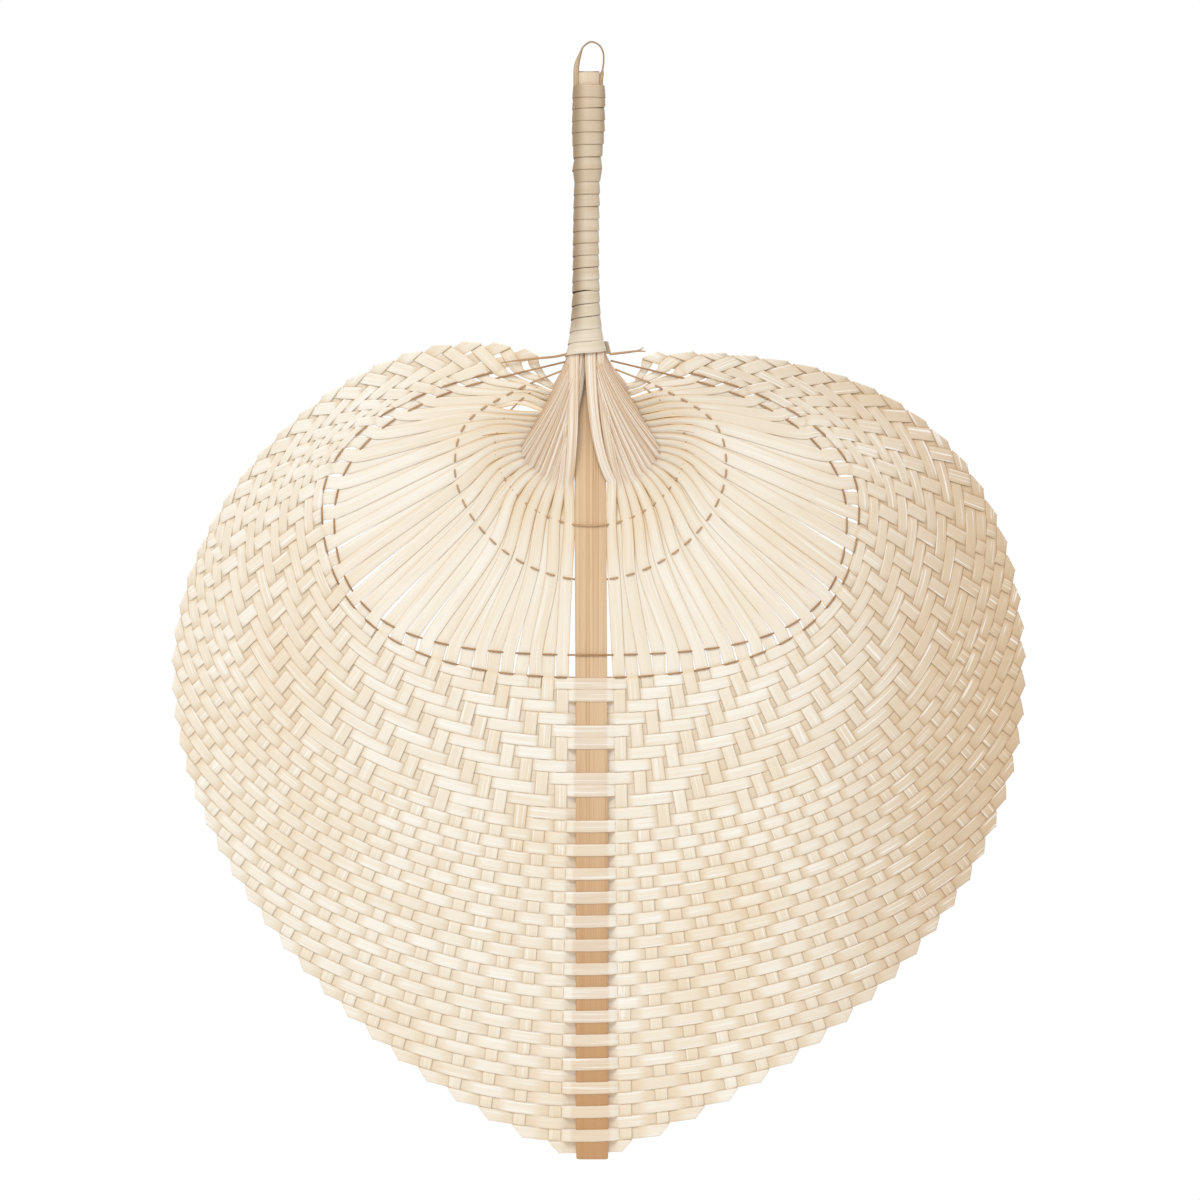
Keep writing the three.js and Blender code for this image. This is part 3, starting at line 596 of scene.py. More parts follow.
def ring_quads(rows, corners):
    """The numbers of the points on a grid of rings, and the quads between neighbouring rings."""
    index = np.arange(rows * corners).reshape(rows, corners)
    beside = np.roll(index, -1, axis=1)
    quads = np.stack([index[:-1], beside[:-1], beside[1:], index[1:]], axis=-1)
    return index, quads.reshape(-1, 4)


def add_piece(name, grid, uv, nodes, attributes=None):
    """Makes an object from a grid of rings in millimetres, closed around each ring and at both ends."""
    points = (grid.reshape(-1, 3) - [0, 0, NECK_BELOW_LOOP]) * MM
    index, quads = ring_quads(*grid.shape[:2])
    caps = np.stack([index[0][::-1], index[-1]])
    if signed_volume(points, quads) < 0:
        quads, caps = quads[:, ::-1], caps[:, ::-1]
    mesh = bpy.data.meshes.new(name)
    mesh.from_pydata(points.tolist(), [], quads.tolist() + caps.tolist())
    smooth = np.ones(len(quads) + 2, bool)
    smooth[-2:] = False
    mesh.polygons.foreach_set("use_smooth", smooth)
    corner_points = np.empty(len(mesh.loops), int)
    mesh.loops.foreach_get("vertex_index", corner_points)
    layer = mesh.uv_layers.new(name="grain")
    layer.data.foreach_set("uv", uv.reshape(-1, 2)[corner_points].ravel())
    for key, values in (attributes or {}).items():
        mesh.attributes.new(key, "FLOAT", "POINT").data.foreach_set("value", values.ravel())
    piece = bpy.data.objects.new(name, mesh)
    bpy.context.collection.objects.link(piece)
    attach(piece, BODY)
    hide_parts(*nodes)
    return piece


def grain_uv(middles, across, offset=0.0):
    """Metres along a path and the share across or around it, for every point of the grid."""
    along = distance_along(middles)[:, None] * MM + offset
    return np.stack(np.broadcast_arrays(along, across), axis=-1)


def ribbon_uv(middles, profile=RIBBON, offset=0.0):
    return grain_uv(middles, (profile[:, 0] + 1) / 2, offset)


print("points around a strip:", len(RIBBON))

# %% [markdown]
# Bamboo this thin lets light through. Where two strips lie on each other the blade is darker and yellower
# than where one lies alone, as in the window, and over the spine and in the gathered neck no light comes
# through at all. That light is not rendered: it is painted shade. How far a splint's neighbours reach
# behind it is known from the spacing, and is kept on the mesh as a value from 0, alone, over 1, doubled,
# to 2, thick. A second value tells the crowns of the weave, which stay pale, from the places where a strip
# dives under another, which get painted shade. The third is the tone: every strip has its own, deepened by
# painted shade where the strip is steep, and it is deeper around the throat.

# %% The forty strips
STRIP_SEED = 40
DOUBLED_BLUR = 0.16
BELL_FROM = 4.6
BELL_BLUR = 0.6
STEEP_SHADE = 0.45
STEEP_WINDOW = 0.3
WINDOW_CROWN_DEPTH = 0.8
SPINE_REACH = 0.64
SPINE_BLUR = 0.12
SPINE_SHADE = 0.85
SPINE_CROWN = 0.7
SPINE_CROWN_REACH = 9.0
SPINE_CROWN_BLUR = 3.0
CROWN_FROM = 0.26
CROWN_OVER = 0.6
WINDOW_SHADE = 0.66
THROAT_TONE = 0.45
THROAT_TONE_FROM = 2.9
THROAT_TONE_OVER = 1.2
WOVEN = slice(len(WINDOW_AT), -len(WINDOW_AT))
WINDOW_ENDS = (slice(len(WINDOW_AT)), slice(-len(WINDOW_AT), None))


def window_pitch(side):
    """The distance from each splint to the next one, square to it, at all window places."""
    plans = np.stack([window_plan(points, n) for n, points in zip(NUMBERS, STANDS[side][0])])
    return spacing(plans[1:] - plans[:-1], np.gradient(plans[:-1], axis=1))


WINDOW_PITCH = {side: window_pitch(side) for side in (1, -1)}


def layers_half(number, side, width):
    """How many others half a strip lies on, up to two, for every point of its grid."""
    layers = np.ones((len(width), len(RIBBON)))
    # Wefts in front of the spine get painted shade over it, for no light comes through the spine.
    if weft_sign(number, 0) < 0:
        over_spine = soft_step((SPINE_REACH - np.arange(STEPS) / STEPS) / SPINE_BLUR)
        layers[:STEPS] += SPINE_SHADE * over_spine[:, None]
    window = width[-len(WINDOW_AT):]
    pitch = np.pad(WINDOW_PITCH[side], ((1, 1), (0, 0)), mode="edge")
    place = RIBBON[None, :, 0]
    amount = np.zeros((len(WINDOW_AT), len(RIBBON)))
    for row, sense in ((number - 1, -1), (number, 1)):
        alone = 2 * pitch[row] / window - 1
        amount = np.maximum(amount, soft_step((sense * place - alone[:, None]) / DOUBLED_BLUR + 0.5))
    in_bell = soft_step((WINDOW_AT - BELL_FROM) / BELL_BLUR)[:, None]
    layers[-len(WINDOW_AT):] = amount + (2 - amount) * in_bell
    return layers


def crown_of(middles, normals):
    """1 on the side of a strip that is pushed out over another, 0 on the side that is pushed in, and a soft
    step between; the finish paints shade where it is low. Beside the spine it is held up. The splints of the
    window, at both ends, lie loosely: their value follows a wider range of depth and is raised, so they get
    less painted shade."""
    facing = np.sign(RIBBON[None, :, 1] * normals[:, None, 1])
    depth = np.full(len(middles), WINDOW_CROWN_DEPTH)
    depth[WOVEN] = WEAVE_DEPTH
    crown = 0.5 + 0.5 * facing * np.clip(middles[:, 1] / depth, -1, 1)[:, None]
    crown[WOVEN] = soft_step((crown[WOVEN] - CROWN_FROM) / CROWN_OVER)
    for end in WINDOW_ENDS:
        crown[end] = 1 - WINDOW_SHADE * (1 - crown[end])
    beside = 1 - soft_step((np.abs(middles[:, 0]) - SPINE_CROWN_REACH) / SPINE_CROWN_BLUR)
    return np.maximum(crown, SPINE_CROWN * beside[:, None])


def tone_and_steep_shade_of(middles, tone):
    """How dark a strip is: its own tone, with painted shade where it is steep, standing in for fibres that
    shine across their length, and more around the throat."""
    steep = unit(np.gradient(middles, axis=0))[:, 2:] ** 2
    for end in WINDOW_ENDS:
        steep[end] *= STEEP_WINDOW
    dark = (1 - STEEP_SHADE) * tone + STEEP_SHADE * steep
    throat = THROAT_TONE * soft_step((WINDOW_AT - THROAT_TONE_FROM) / THROAT_TONE_OVER)[:, None]
    for end, gathered in zip(WINDOW_ENDS, (throat[::-1], throat)):
        dark[end] += gathered
    return np.tile(dark, (1, len(RIBBON)))


strip_tones = np.random.default_rng(STRIP_SEED).uniform(0, 1, STRIP_COUNT)
STRIPS = []
for number in NUMBERS:
    left, right = (half_strip(number, side) for side in (-1, 1))
    middles, spans, normals, width = (joined(a, b) for a, b in zip(left, right))
    layers = joined(layers_half(number, -1, left[-1]), layers_half(number, 1, right[-1]))
    name = f"strip_{number:02d}"
    STRIPS.append(add_piece(
        name + "_woven", ribbon_grid(middles, spans, normals, width, STRIP_THICKNESS),
        ribbon_uv(middles, offset=float(number)), [name],
        {"layers": layers, "crown": crown_of(middles, normals),
         "tone": tone_and_steep_shade_of(middles, strip_tones[number - 1])}))
print("strips:", len(STRIPS), "with", sum(len(s.data.polygons) for s in STRIPS), "faces")

# %% [markdown]
# The spine is one split of bamboo from the tip of the blade to the end of the handle: a flat slat in the
# blade, rounder in the handle. Its section is a rounded rectangle, the curve where the powers of the two
# coordinates add up to one. Both ends are sawn, and the upper one has dried a little hollow.

# %% The spine and handle core
CORE_WIDTH = 7.8
CORE_DEPTH = 5.0
HANDLE_LENGTH = 94.5
CORE_TOP = 99.4
CORE_HOLLOW = 0.3
DRIED_DEPTH = 1.5
DRIED_OVER = 1.2
SPINE_CORNERS = 64


def rounded_rings(levels):
    """Rings of a rounded outline: half width, half depth, squareness and height for each."""
    half_x, half_y, square, z = (np.array(column)[:, None] for column in zip(*levels))
    turn = (np.arange(SPINE_CORNERS) + 0.5) / SPINE_CORNERS * 2 * np.pi
    x = half_x * signed_power(np.cos(turn), 2 / square)
    y = half_y * signed_power(np.sin(turn), 2 / square)
    return np.stack([x, y, np.broadcast_to(z, x.shape)], axis=-1)


spine_levels = [
    (SPINE_WIDTH / 2 - 0.9, SPINE_THICKNESS / 2 - 0.7, 6, -BLADE_DROP),
    (SPINE_WIDTH / 2 - 0.15, SPINE_THICKNESS / 2 - 0.15, 7, -BLADE_DROP + 0.25),
    (SPINE_WIDTH / 2, SPINE_THICKNESS / 2, 7, -BLADE_DROP + 1.0),
    (SPINE_WIDTH / 2, SPINE_THICKNESS / 2, 7, -140),
    (SPINE_WIDTH / 2 - 0.05, SPINE_THICKNESS / 2, 7, -60),
    (SPINE_WIDTH / 2 - 0.1, SPINE_THICKNESS / 2, 7, -36),
    (CORE_WIDTH / 2 + 0.3, SPINE_THICKNESS / 2, 6, -12),
    (CORE_WIDTH / 2, SPINE_THICKNESS / 2, 5, 4),
    (CORE_WIDTH / 2, CORE_DEPTH / 2, 2.2, 14),
    (CORE_WIDTH / 2, CORE_DEPTH / 2, 2.2, HANDLE_LENGTH - 6),
    (CORE_WIDTH / 2 - 0.2, CORE_DEPTH / 2 - 0.3, 2.6, HANDLE_LENGTH),
    (CORE_WIDTH / 2 - 0.25, CORE_DEPTH / 2 - 0.3, 2.6, CORE_TOP - 0.5),
    (CORE_WIDTH / 2 - 0.35, CORE_DEPTH / 2 - 0.4, 2.6, CORE_TOP - 0.1),
    (CORE_WIDTH / 2 - 0.7, CORE_DEPTH / 2 - 0.75, 2.6, CORE_TOP),
    (CORE_WIDTH / 2 - 1.6, CORE_DEPTH / 2 - 1.4, 2.4, CORE_TOP - 0.25),
    (0.6, 0.4, 2.2, CORE_TOP - 0.5),
]
spine_grid = rounded_rings(spine_levels)
dried = soft_step((spine_grid[..., 2] - CORE_TOP + DRIED_DEPTH) / DRIED_OVER)
spine_grid[..., 2] -= CORE_HOLLOW * dried * (1 - (2 * spine_grid[..., 0] / CORE_WIDTH) ** 2)
spine_grid[..., 0] += handle_bow(spine_grid[..., 2])
SPINE = add_piece("spine_slat", spine_grid, spine_grid[..., [0, 2]] * MM, ["spine"])
print("spine faces:", len(SPINE.data.polygons))

# %% [markdown]
# Four thin brown strands lace the splints of the window. Each one follows its ring and passes over and
# under the splints in turn, like a weft made of thread: the inner and outer ones go over the spine and
# the even splints, the other two go behind the spine and over the odd ones. The outer and the middle one
# run on at both ends, over the last splints to the neck.

# %% Lacing strands
LACE_RADIUS = 0.33
LACE_STEPS = 8
LACE_LAST = 38
LACE_LEVEL = 0.3
LACE_SPINE_LEVEL = (0.66, 0.1)
LACE_NECK = {"lace_outer": np.array([7.0, -1.1, -2.0]), "lace_middle": np.array([8.6, -1.1, -5.0])}
LACE_TAIL_STEPS = 24
LACE_TAIL_DIVE = 0.2
TUBE_CORNERS = 10
TUBE_TURN = np.arange(TUBE_CORNERS) / TUBE_CORNERS


def tube_grid(middles, radius):
    """Circles square to a path, with the radius given for each point."""
    ahead = unit(np.gradient(middles, axis=0))
    level = unit(np.cross(DEPTH_AXIS, ahead))
    rise = np.cross(ahead, level)
    turn = TUBE_TURN * 2 * np.pi
    around = np.cos(turn)[:, None] * level[:, None] + np.sin(turn)[:, None] * rise[:, None]
    return middles[:, None] + np.broadcast_to(radius, len(middles))[:, None, None] * around


def lace_path(ring, over_spine, stand, neck=None):
    """One strand on both sides of the spine: along its ring, over and under the splints in turn. Its ends
    may run on over the last splints to the neck."""
    numbers = np.arange(1, LACE_LAST + 1)
    runs = np.concatenate([[0.0], ring.place(numbers)])
    splint_depth = np.concatenate([[0.0], STANDS[1][1][numbers - 1, stand]])
    over = (np.arange(LACE_LAST + 1) % 2 == 0) == over_spine
    lift = np.full(LACE_LAST + 1, STRIP_THICKNESS / 2 + LACE_RADIUS)
    lift[0] = SPINE_THICKNESS / 2 + LACE_RADIUS
    depths = splint_depth + np.where(over, -lift, lift)
    at = np.linspace(0, LACE_LAST, LACE_LAST * LACE_STEPS + 1)
    depth = step_between(depths, at, *level_shares(LACE_LAST + 1, LACE_LEVEL, LACE_SPINE_LEVEL))
    right = in_space(ring.at(np.interp(at, np.arange(LACE_LAST + 1), runs)), depth)
    if neck is not None:
        share = np.linspace(0, 1, LACE_TAIL_STEPS + 1)[1:, None]
        tail = right[-1] + share * (neck - right[-1])
        dive = soft_step(share[:, 0] / LACE_TAIL_DIVE)
        tail[:, 1] = right[-1, 1] + (neck[1] - right[-1, 1]) * dive
        right = np.vstack([right, tail])
    return joined(right * [-1, 1, 1], right)


def add_strand(name, path, radius, node):
    """A round strand along a path, shown for one node. Gives back its length in whole millimetres."""
    LACES.append(add_piece(name, tube_grid(path, radius), grain_uv(path, TUBE_TURN), [node]))
    return round(float(distance_along(path)[-1]))


LACES = []
lace_lengths = []
for name, ring, over_spine, stand in (
    ("lace_inner", INNER_LACE, True, 4), ("lace_middle", MIDDLE_LACE, False, 3),
    ("lace_outer", OUTER_LACE, True, 2), ("lace_weave_edge", WEAVE_EDGE, False, 1),
):
    path = lace_path(ring, over_spine, stand, LACE_NECK.get(name))
    lace_lengths.append(add_strand(name + "_strand", path, LACE_RADIUS, name))
print("lacing strands:", lace_lengths, "mm long")

# %% [markdown]
# Two strand ends come out from under the binding and lie over the shoulders of the blade. Their points
# are chosen from the photograph. The right one is split at its tip.

# %% Loose strand ends
LOOSE_STEPS = 40
LOOSE_RADIUS = 0.43
LOOSE_TAPER = 0.55
LOOSE_ENDS = {
    "lace_end_left": ([-7.0, -2.9, 0.5], [-12.0, -2.4, -0.6], [-18.0, -2.0, -1.2],
                      [-25.0, -1.7, -1.9], [-31.2, -1.5, -2.8]),
    "lace_end_right": ([6.8, -2.9, 0.2], [9.5, -2.5, 0.5], [13.0, -2.2, 0.9],
                       [16.5, -2.1, 1.3], [19.2, -2.0, 1.2]),
}
SPLIT_TIP = ([15.6, -2.1, 1.2], [17.2, -2.2, 1.7], [18.6, -2.3, 2.5])
SPLIT_TIP_RADIUS = 0.6 * LOOSE_RADIUS


def loose_strand(points, radius):
    """A strand through a few points: its path, and its radius, which falls with the cube of the way."""
    path = smooth_curve(points, np.linspace(0, len(points) - 1, LOOSE_STEPS))
    return path, radius * (1 - LOOSE_TAPER * np.linspace(0, 1, LOOSE_STEPS) ** 3)


loose_lengths = [add_strand(name + "_strand", *loose_strand(points, LOOSE_RADIUS), name)
                 for name, points in LOOSE_ENDS.items()]
add_strand("split_tip", *loose_strand(SPLIT_TIP, SPLIT_TIP_RADIUS), "lace_end_right")
print("loose ends:", loose_lengths, "mm long, and a split tip")

# %% [markdown]
# The handle is bound with one long flat strip. It is a helix on an oval that flares over the gathered
# splints at the neck and swells over the legs of the loop. Both ends run on straight, and the lower one
# sticks out a little beside the collar. Two thirds up the oval swells once more, as over a doubled strip,
# and lower down one turn is narrow in front and leaves a gap.

# %% Handle binding
BINDING_WIDTH = 4.45
BINDING_TURNS = 22.15
BINDING_CLIMB = 21.5
BINDING_LEVEL = 0.85
BINDING_LEVEL_FROM = 8.0
BINDING_LEVEL_OVER = 40.0
BINDING_TOP_ROOM = 0.15
BINDING_CORE_ROOM = 0.3
COLLAR_MIDDLE = -0.17
COLLAR_SQUARE = 0.9
BINDING_THICKNESS = 0.3
BINDING_OVERLAP = 0.07
BINDING_STEPS = 64
BINDING_START = 126.0
BINDING_SEED = 23
BINDING_WAVER = 0.35
NECK_FLARE = 2.9
NECK_FLARE_LENGTH = 9.0
LOOP_TUCK = 14.0
LOOP_SWELL_LENGTH = 19.6
LOOP_ROOM = 1.2
DOUBLE_TURN_AT = 64.5
DOUBLE_TURN_RISE = 0.55
DOUBLE_TURN_REACH = 2.3
GAP_OPEN = 0.75
GAP_TURNS = (5.25, 5.62)
GAP_OVER = (0.15, 0.2)
TAIL_STEPS = 8
TAIL_LENGTH = 2.2
COLLAR_LIFT = (3.0, 0.5)
COLLAR_LIFT_TURNS = 0.42
BINDING_STRIP = np.array([
    [-1, -0.5], [-1, 0.3], [-0.95, 0.78], [-0.8, 0.95], [-0.4, 1.1], [0, 1.15], [0.4, 1.1], [0.8, 0.95],
    [0.95, 0.78], [1, 0.3], [1, -0.5], [0.9, -1], [0.3, -1], [-0.3, -1], [-0.9, -1],
])


def binding_half(z):
    """The oval's half width and half depth at a height above the neck."""
    wall = BINDING_THICKNESS + BINDING_CORE_ROOM
    flare = NECK_FLARE * np.exp(-np.maximum(z, 0) / NECK_FLARE_LENGTH)
    legs = soft_step((z - HANDLE_LENGTH + LOOP_TUCK + LOOP_SWELL_LENGTH) / LOOP_SWELL_LENGTH)
    double = DOUBLE_TURN_RISE * np.exp(-((z - DOUBLE_TURN_AT) / DOUBLE_TURN_REACH) ** 2)
    half_x = CORE_WIDTH / 2 + wall + flare + LOOP_ROOM * legs + double
    half_y = CORE_DEPTH / 2 + wall + flare + LOOP_ROOM / 2 * legs + double / 2
    return half_x, half_y


def binding_stations():
    """The helix with its straight ends: middles, spans along the handle, normals and widths. The oval is
    the curve where the powers of the two coordinates add up to one; the power is 2, and more at the collar.
    The first part of the first turn lies higher and on top of the second one. Higher up the turns are level
    in front and climb at the back: a sine of the turn is taken away from the even climb. One turn is
    narrowed from below in front, which leaves a gap."""
    wound = np.linspace(0, BINDING_TURNS, int(BINDING_TURNS * BINDING_STEPS))
    waver = np.random.default_rng(BINDING_SEED).uniform(-1, 1, int(BINDING_TURNS) + 2)
    waver[[0, 1, -2, -1]] = 0
    top = HANDLE_LENGTH - BINDING_WIDTH / 2 - BINDING_TOP_ROOM
    pitch = (top - COLLAR_MIDDLE) / BINDING_CLIMB
    z = COLLAR_MIDDLE + pitch * np.minimum(wound, BINDING_CLIMB)
    level = BINDING_LEVEL * soft_step((z - BINDING_LEVEL_FROM) / BINDING_LEVEL_OVER)
    level *= soft_step(BINDING_CLIMB - wound)
    at_front = (360 - BINDING_START) / 360
    z -= level * pitch / (2 * np.pi) * np.sin(2 * np.pi * (wound - at_front))
    z += BINDING_WAVER * soften(np.interp(wound, np.arange(len(waver)), waver), BINDING_STEPS // 4)
    opened, closed = (soft_step((wound - start) / over) for start, over in zip(GAP_TURNS, GAP_OVER))
    gap = GAP_OPEN * opened * (1 - closed)
    z += gap / 2
    half_x, half_y = binding_half(z)
    lift = 1 - soft_step(wound / COLLAR_LIFT_TURNS)
    z = z + COLLAR_LIFT[0] * lift
    half_x, half_y = half_x + COLLAR_LIFT[1] * lift, half_y + COLLAR_LIFT[1] * lift
    turn = np.radians(BINDING_START) + 2 * np.pi * wound
    power = 2 + COLLAR_SQUARE * np.exp(-np.maximum(z, 0) / NECK_FLARE_LENGTH)
    side, front = (signed_power(part, 2 / power) for part in (np.sin(turn), np.cos(turn)))
    wall = BINDING_THICKNESS / 2
    middles = np.stack([handle_bow(z) + (half_x - wall) * side, -(half_y - wall) * front, z], -1)
    normals = unit(np.stack([
        half_y * signed_power(side, power - 1), -half_x * signed_power(front, power - 1), 0 * z], -1))
    above, below = binding_half(z + 0.5), binding_half(z - 0.5)
    slope_x, slope_y = (high - low for high, low in zip(above, below))
    spans = np.stack([slope_x * side, -slope_y * front, np.ones_like(z)], -1) - BINDING_OVERLAP * normals
    run_on = np.linspace(0, TAIL_LENGTH, TAIL_STEPS + 1)[1:, None]
    first, last = unit(middles[0] - middles[1]), unit(middles[-1] - middles[-2])
    tails = ((TAIL_STEPS, TAIL_STEPS), (0, 0))
    return (
        np.vstack([(middles[0] + run_on * first)[::-1], middles, middles[-1] + run_on * last]),
        np.pad(spans, tails, mode="edge"),
        np.pad(normals, tails, mode="edge"),
        np.pad(BINDING_WIDTH - gap, TAIL_STEPS, mode="edge"),
    )


middles, spans, normals, binding_width = binding_stations()
BINDING = add_piece(
    "handle_binding_wound",
    ribbon_grid(middles, spans, normals, binding_width, BINDING_THICKNESS, BINDING_STRIP),
    ribbon_uv(middles, BINDING_STRIP), ["handle_binding"])
print("binding strip:", round(float(distance_along(middles)[-1]) / 1000, 2), "m long")

# %% [markdown]
# The hanging loop is a thin dark strip. Its legs are tucked under the binding on both sides of the core.
# It twists on its way up on the left, so it looks wide at its foot and thin at its top.

# %% Hanging loop
LOOP_WIDTH = 2.2
LOOP_THICKNESS = 0.6
LOOP_RISE = 9.8
LOOP_TWIST = 58.0
LOOP_STEPS = 180
LOOP_TWIST_FROM = (0.03, 0.16)
LOOP_TWIST_OVER = (0.09, 0.32)
LOOP_TURN_RIGHT = 62.0
LOOP_TURN_FROM = 0.76
LOOP_TURN_OVER = 0.08
LOOP_TAPER = 0.25
LOOP_TAPER_FROM = 0.35
LOOP_TAPER_OVER = 0.2
LOOP_LEG_ROOM = 0.3
RIGHT_LEG = 0.93
LOOP_ROUTE = np.array([
    [-0.98, 0.12], [-0.88, 0.36], [-0.69, 0.62], [-0.45, 0.86], [0.15, 1.04],
    [0.77, 0.93], [1.09, 0.67], [1.13, 0.33], [1.03, 0.0],
])
LOOP_LEG = CORE_WIDTH / 2 + LOOP_LEG_ROOM + LOOP_THICKNESS / 2

leg_length = LOOP_TUCK + (CORE_TOP - HANDLE_LENGTH) / 2
leg_heights = HANDLE_LENGTH - LOOP_TUCK + np.array([0, 0.5, 1]) * leg_length
left_leg = np.stack([np.full(3, -LOOP_LEG), leg_heights], axis=-1)
bow = LOOP_ROUTE * [LOOP_LEG, LOOP_RISE] + [0, CORE_TOP]
loop_points = np.vstack([left_leg, bow, (left_leg * [-RIGHT_LEG, 1])[::-1]])
loop_share = np.linspace(0, 1, LOOP_STEPS)
middles = in_space(smooth_curve(loop_points, loop_share * (len(loop_points) - 1)), 0 * loop_share)
ahead = unit(np.gradient(middles, axis=0))
sideways = np.cross(ahead, DEPTH_AXIS)
turned_in, turned_out = (soft_step((loop_share - start) / over)
                         for start, over in zip(LOOP_TWIST_FROM, LOOP_TWIST_OVER))
twist = np.radians(LOOP_TWIST) * turned_in * (1 - turned_out)
twist -= np.radians(LOOP_TURN_RIGHT) * soft_step((loop_share - LOOP_TURN_FROM) / LOOP_TURN_OVER)
middles[:, 0] += handle_bow(middles[:, 2])
spans = np.cos(twist)[:, None] * DEPTH_AXIS + np.sin(twist)[:, None] * sideways
loop_width = LOOP_WIDTH * (1 - LOOP_TAPER * soft_step((loop_share - LOOP_TAPER_FROM) / LOOP_TAPER_OVER))
LOOP = add_piece(
    "hanging_loop_bent", ribbon_grid(middles, spans, np.cross(ahead, spans), loop_width, LOOP_THICKNESS),
    ribbon_uv(middles), ["hanging_loop"])
print("loop strip:", round(float(distance_along(middles)[-1])), "mm long")

# %% [markdown]
# Finishes are node materials, but arithmetic is easier to read than a net of Math nodes. So a small class
# wraps a socket: adding or multiplying two wrapped sockets adds the Math node that does it. Colours are
# mixed by their own node, and one method makes every other kind of node.

# %% Shader arithmetic
class Value:
    """A number that changes over a surface: a socket in a finish that takes part in arithmetic."""

    def __init__(self, finish, socket):
        self.finish = finish
        self.socket = socket

    def math(self, operation, first, second=None):
        inputs = {0: first} if second is None else {0: first, 1: second}
        return self.finish.node("ShaderNodeMath", {"operation": operation}, inputs)

    def __add__(self, other):
        return self.math("ADD", self, other)

    def __sub__(self, other):
        return self.math("SUBTRACT", self, other)

    def __rsub__(self, other):
        return self.math("SUBTRACT", other, self)

    def __mul__(self, other):
        return self.math("MULTIPLY", self, other)

    def __abs__(self):
        return self.math("ABSOLUTE", self)

    __radd__ = __add__
    __rmul__ = __mul__

    def ramp(self, low, high):
        """0 at the low value and before it, 1 at the high one and past it, and a soft step between."""
        settings = {"interpolation_type": "SMOOTHSTEP"}
        return self.finish.node("ShaderNodeMapRange", settings, {0: self, 1: low, 2: high})


class Finish:
    """A node material with one Principled shader."""

    def __init__(self, name):
        self.material = bpy.data.materials.new(name)
        self.material.use_nodes = True
        self.tree = self.material.node_tree
        self.shader = self.tree.nodes["Principled BSDF"]

    def node(self, kind, settings=None, inputs=None, output=0):
        """Adds a node, makes its settings, then fills its sockets with numbers or links."""
        node = self.tree.nodes.new(kind)
        for key, value in (settings or {}).items():
            setattr(node, key, value)
        for key, value in (inputs or {}).items():
            self.fill(node.inputs[key], value)
        return Value(self, node.outputs[output])

    def fill(self, socket, value):
        if isinstance(value, Value):
            self.tree.links.new(value.socket, socket)
        else:
            socket.default_value = value

    def set(self, **inputs):
        """Fills sockets of the shader; a name's underscores are spaces."""
        for key, value in inputs.items():
            self.fill(self.shader.inputs[key.replace("_", " ")], value)

    def place(self):
        """Where on the object a point is, in metres."""
        return self.node("ShaderNodeTexCoord", output=3)

    def grain(self):
        """Where on its strip or strand a point is: along it in metres, and across it from 0 to 1."""
        return self.node("ShaderNodeUVMap", {"uv_map": "grain"})

    def part(self, vector, axis):
        return self.node("ShaderNodeSeparateXYZ", None, {0: vector}, output=axis)

    def to_edge(self, grain):
        """0 on the middle line of a strip, 1 at both its edges."""
        return abs(self.part(grain, 1) * 2 - 1)

    def stretched(self, vector, scale):
        """A vector multiplied axis by axis, so that a pattern is drawn out along the grain."""
        return self.node("ShaderNodeVectorMath", {"operation": "MULTIPLY"}, {0: vector, 1: scale})

    def noise(self, vector, scale, detail, roughness):
        drawn = self.stretched(vector, scale)
        inputs = {"Vector": drawn, "Scale": 1.0, "Detail": detail, "Roughness": roughness}
        return self.node("ShaderNodeTexNoise", None, inputs)

    def colour_mix(self, share, first, second):
        """Between two colours: linear colours, or colours mixed before."""
        settings = {"data_type": "RGBA"}
        return self.node("ShaderNodeMix", settings, {0: share, 6: first, 7: second}, output=2)

    def layered(self, colour, *coats):
        """A colour with thin coats over it in turn, each with its share and its screen colour."""
        for share, shade in coats:
            colour = self.colour_mix(share, colour, rgb(*shade))
        return colour

    def bump(self, height, distance, strength):
        inputs = {"Height": height, "Distance": distance, "Strength": strength}
        return self.node("ShaderNodeBump", None, inputs)


def rgb(red, green, blue):
    """A screen colour, 0 to 255, as the linear colour that shaders use."""
    c = np.array([red, green, blue]) / 255
    linear = np.where(c <= 0.04045, c / 12.92, ((c + 0.055) / 1.055) ** 2.4)
    return (*linear.tolist(), 1.0)


print("a sheet of paper, linear:", [round(v, 2) for v in rgb(240, 240, 235)])

# %% [markdown]
# Shaved bamboo is pale and satin. Fine fibres run along each strip and break up its gloss, and the cut
# edges are brown. The map along the strip carries the fibres, and the three values on the mesh carry the
# tone of each strip and painted shade where it lies doubled, where it is steep and where it dives under
# another; painted highlights streak the crowns. Painted shade darkens the right side of the blade. Round
# the throat the edges are painted golden, as light coming through overlapping strips, and painted shade
# and highlights draw pleat lines on the bell.

# %% Finish of the strips
THROAT_CENTRE = (0.0, 0.0, -0.139)


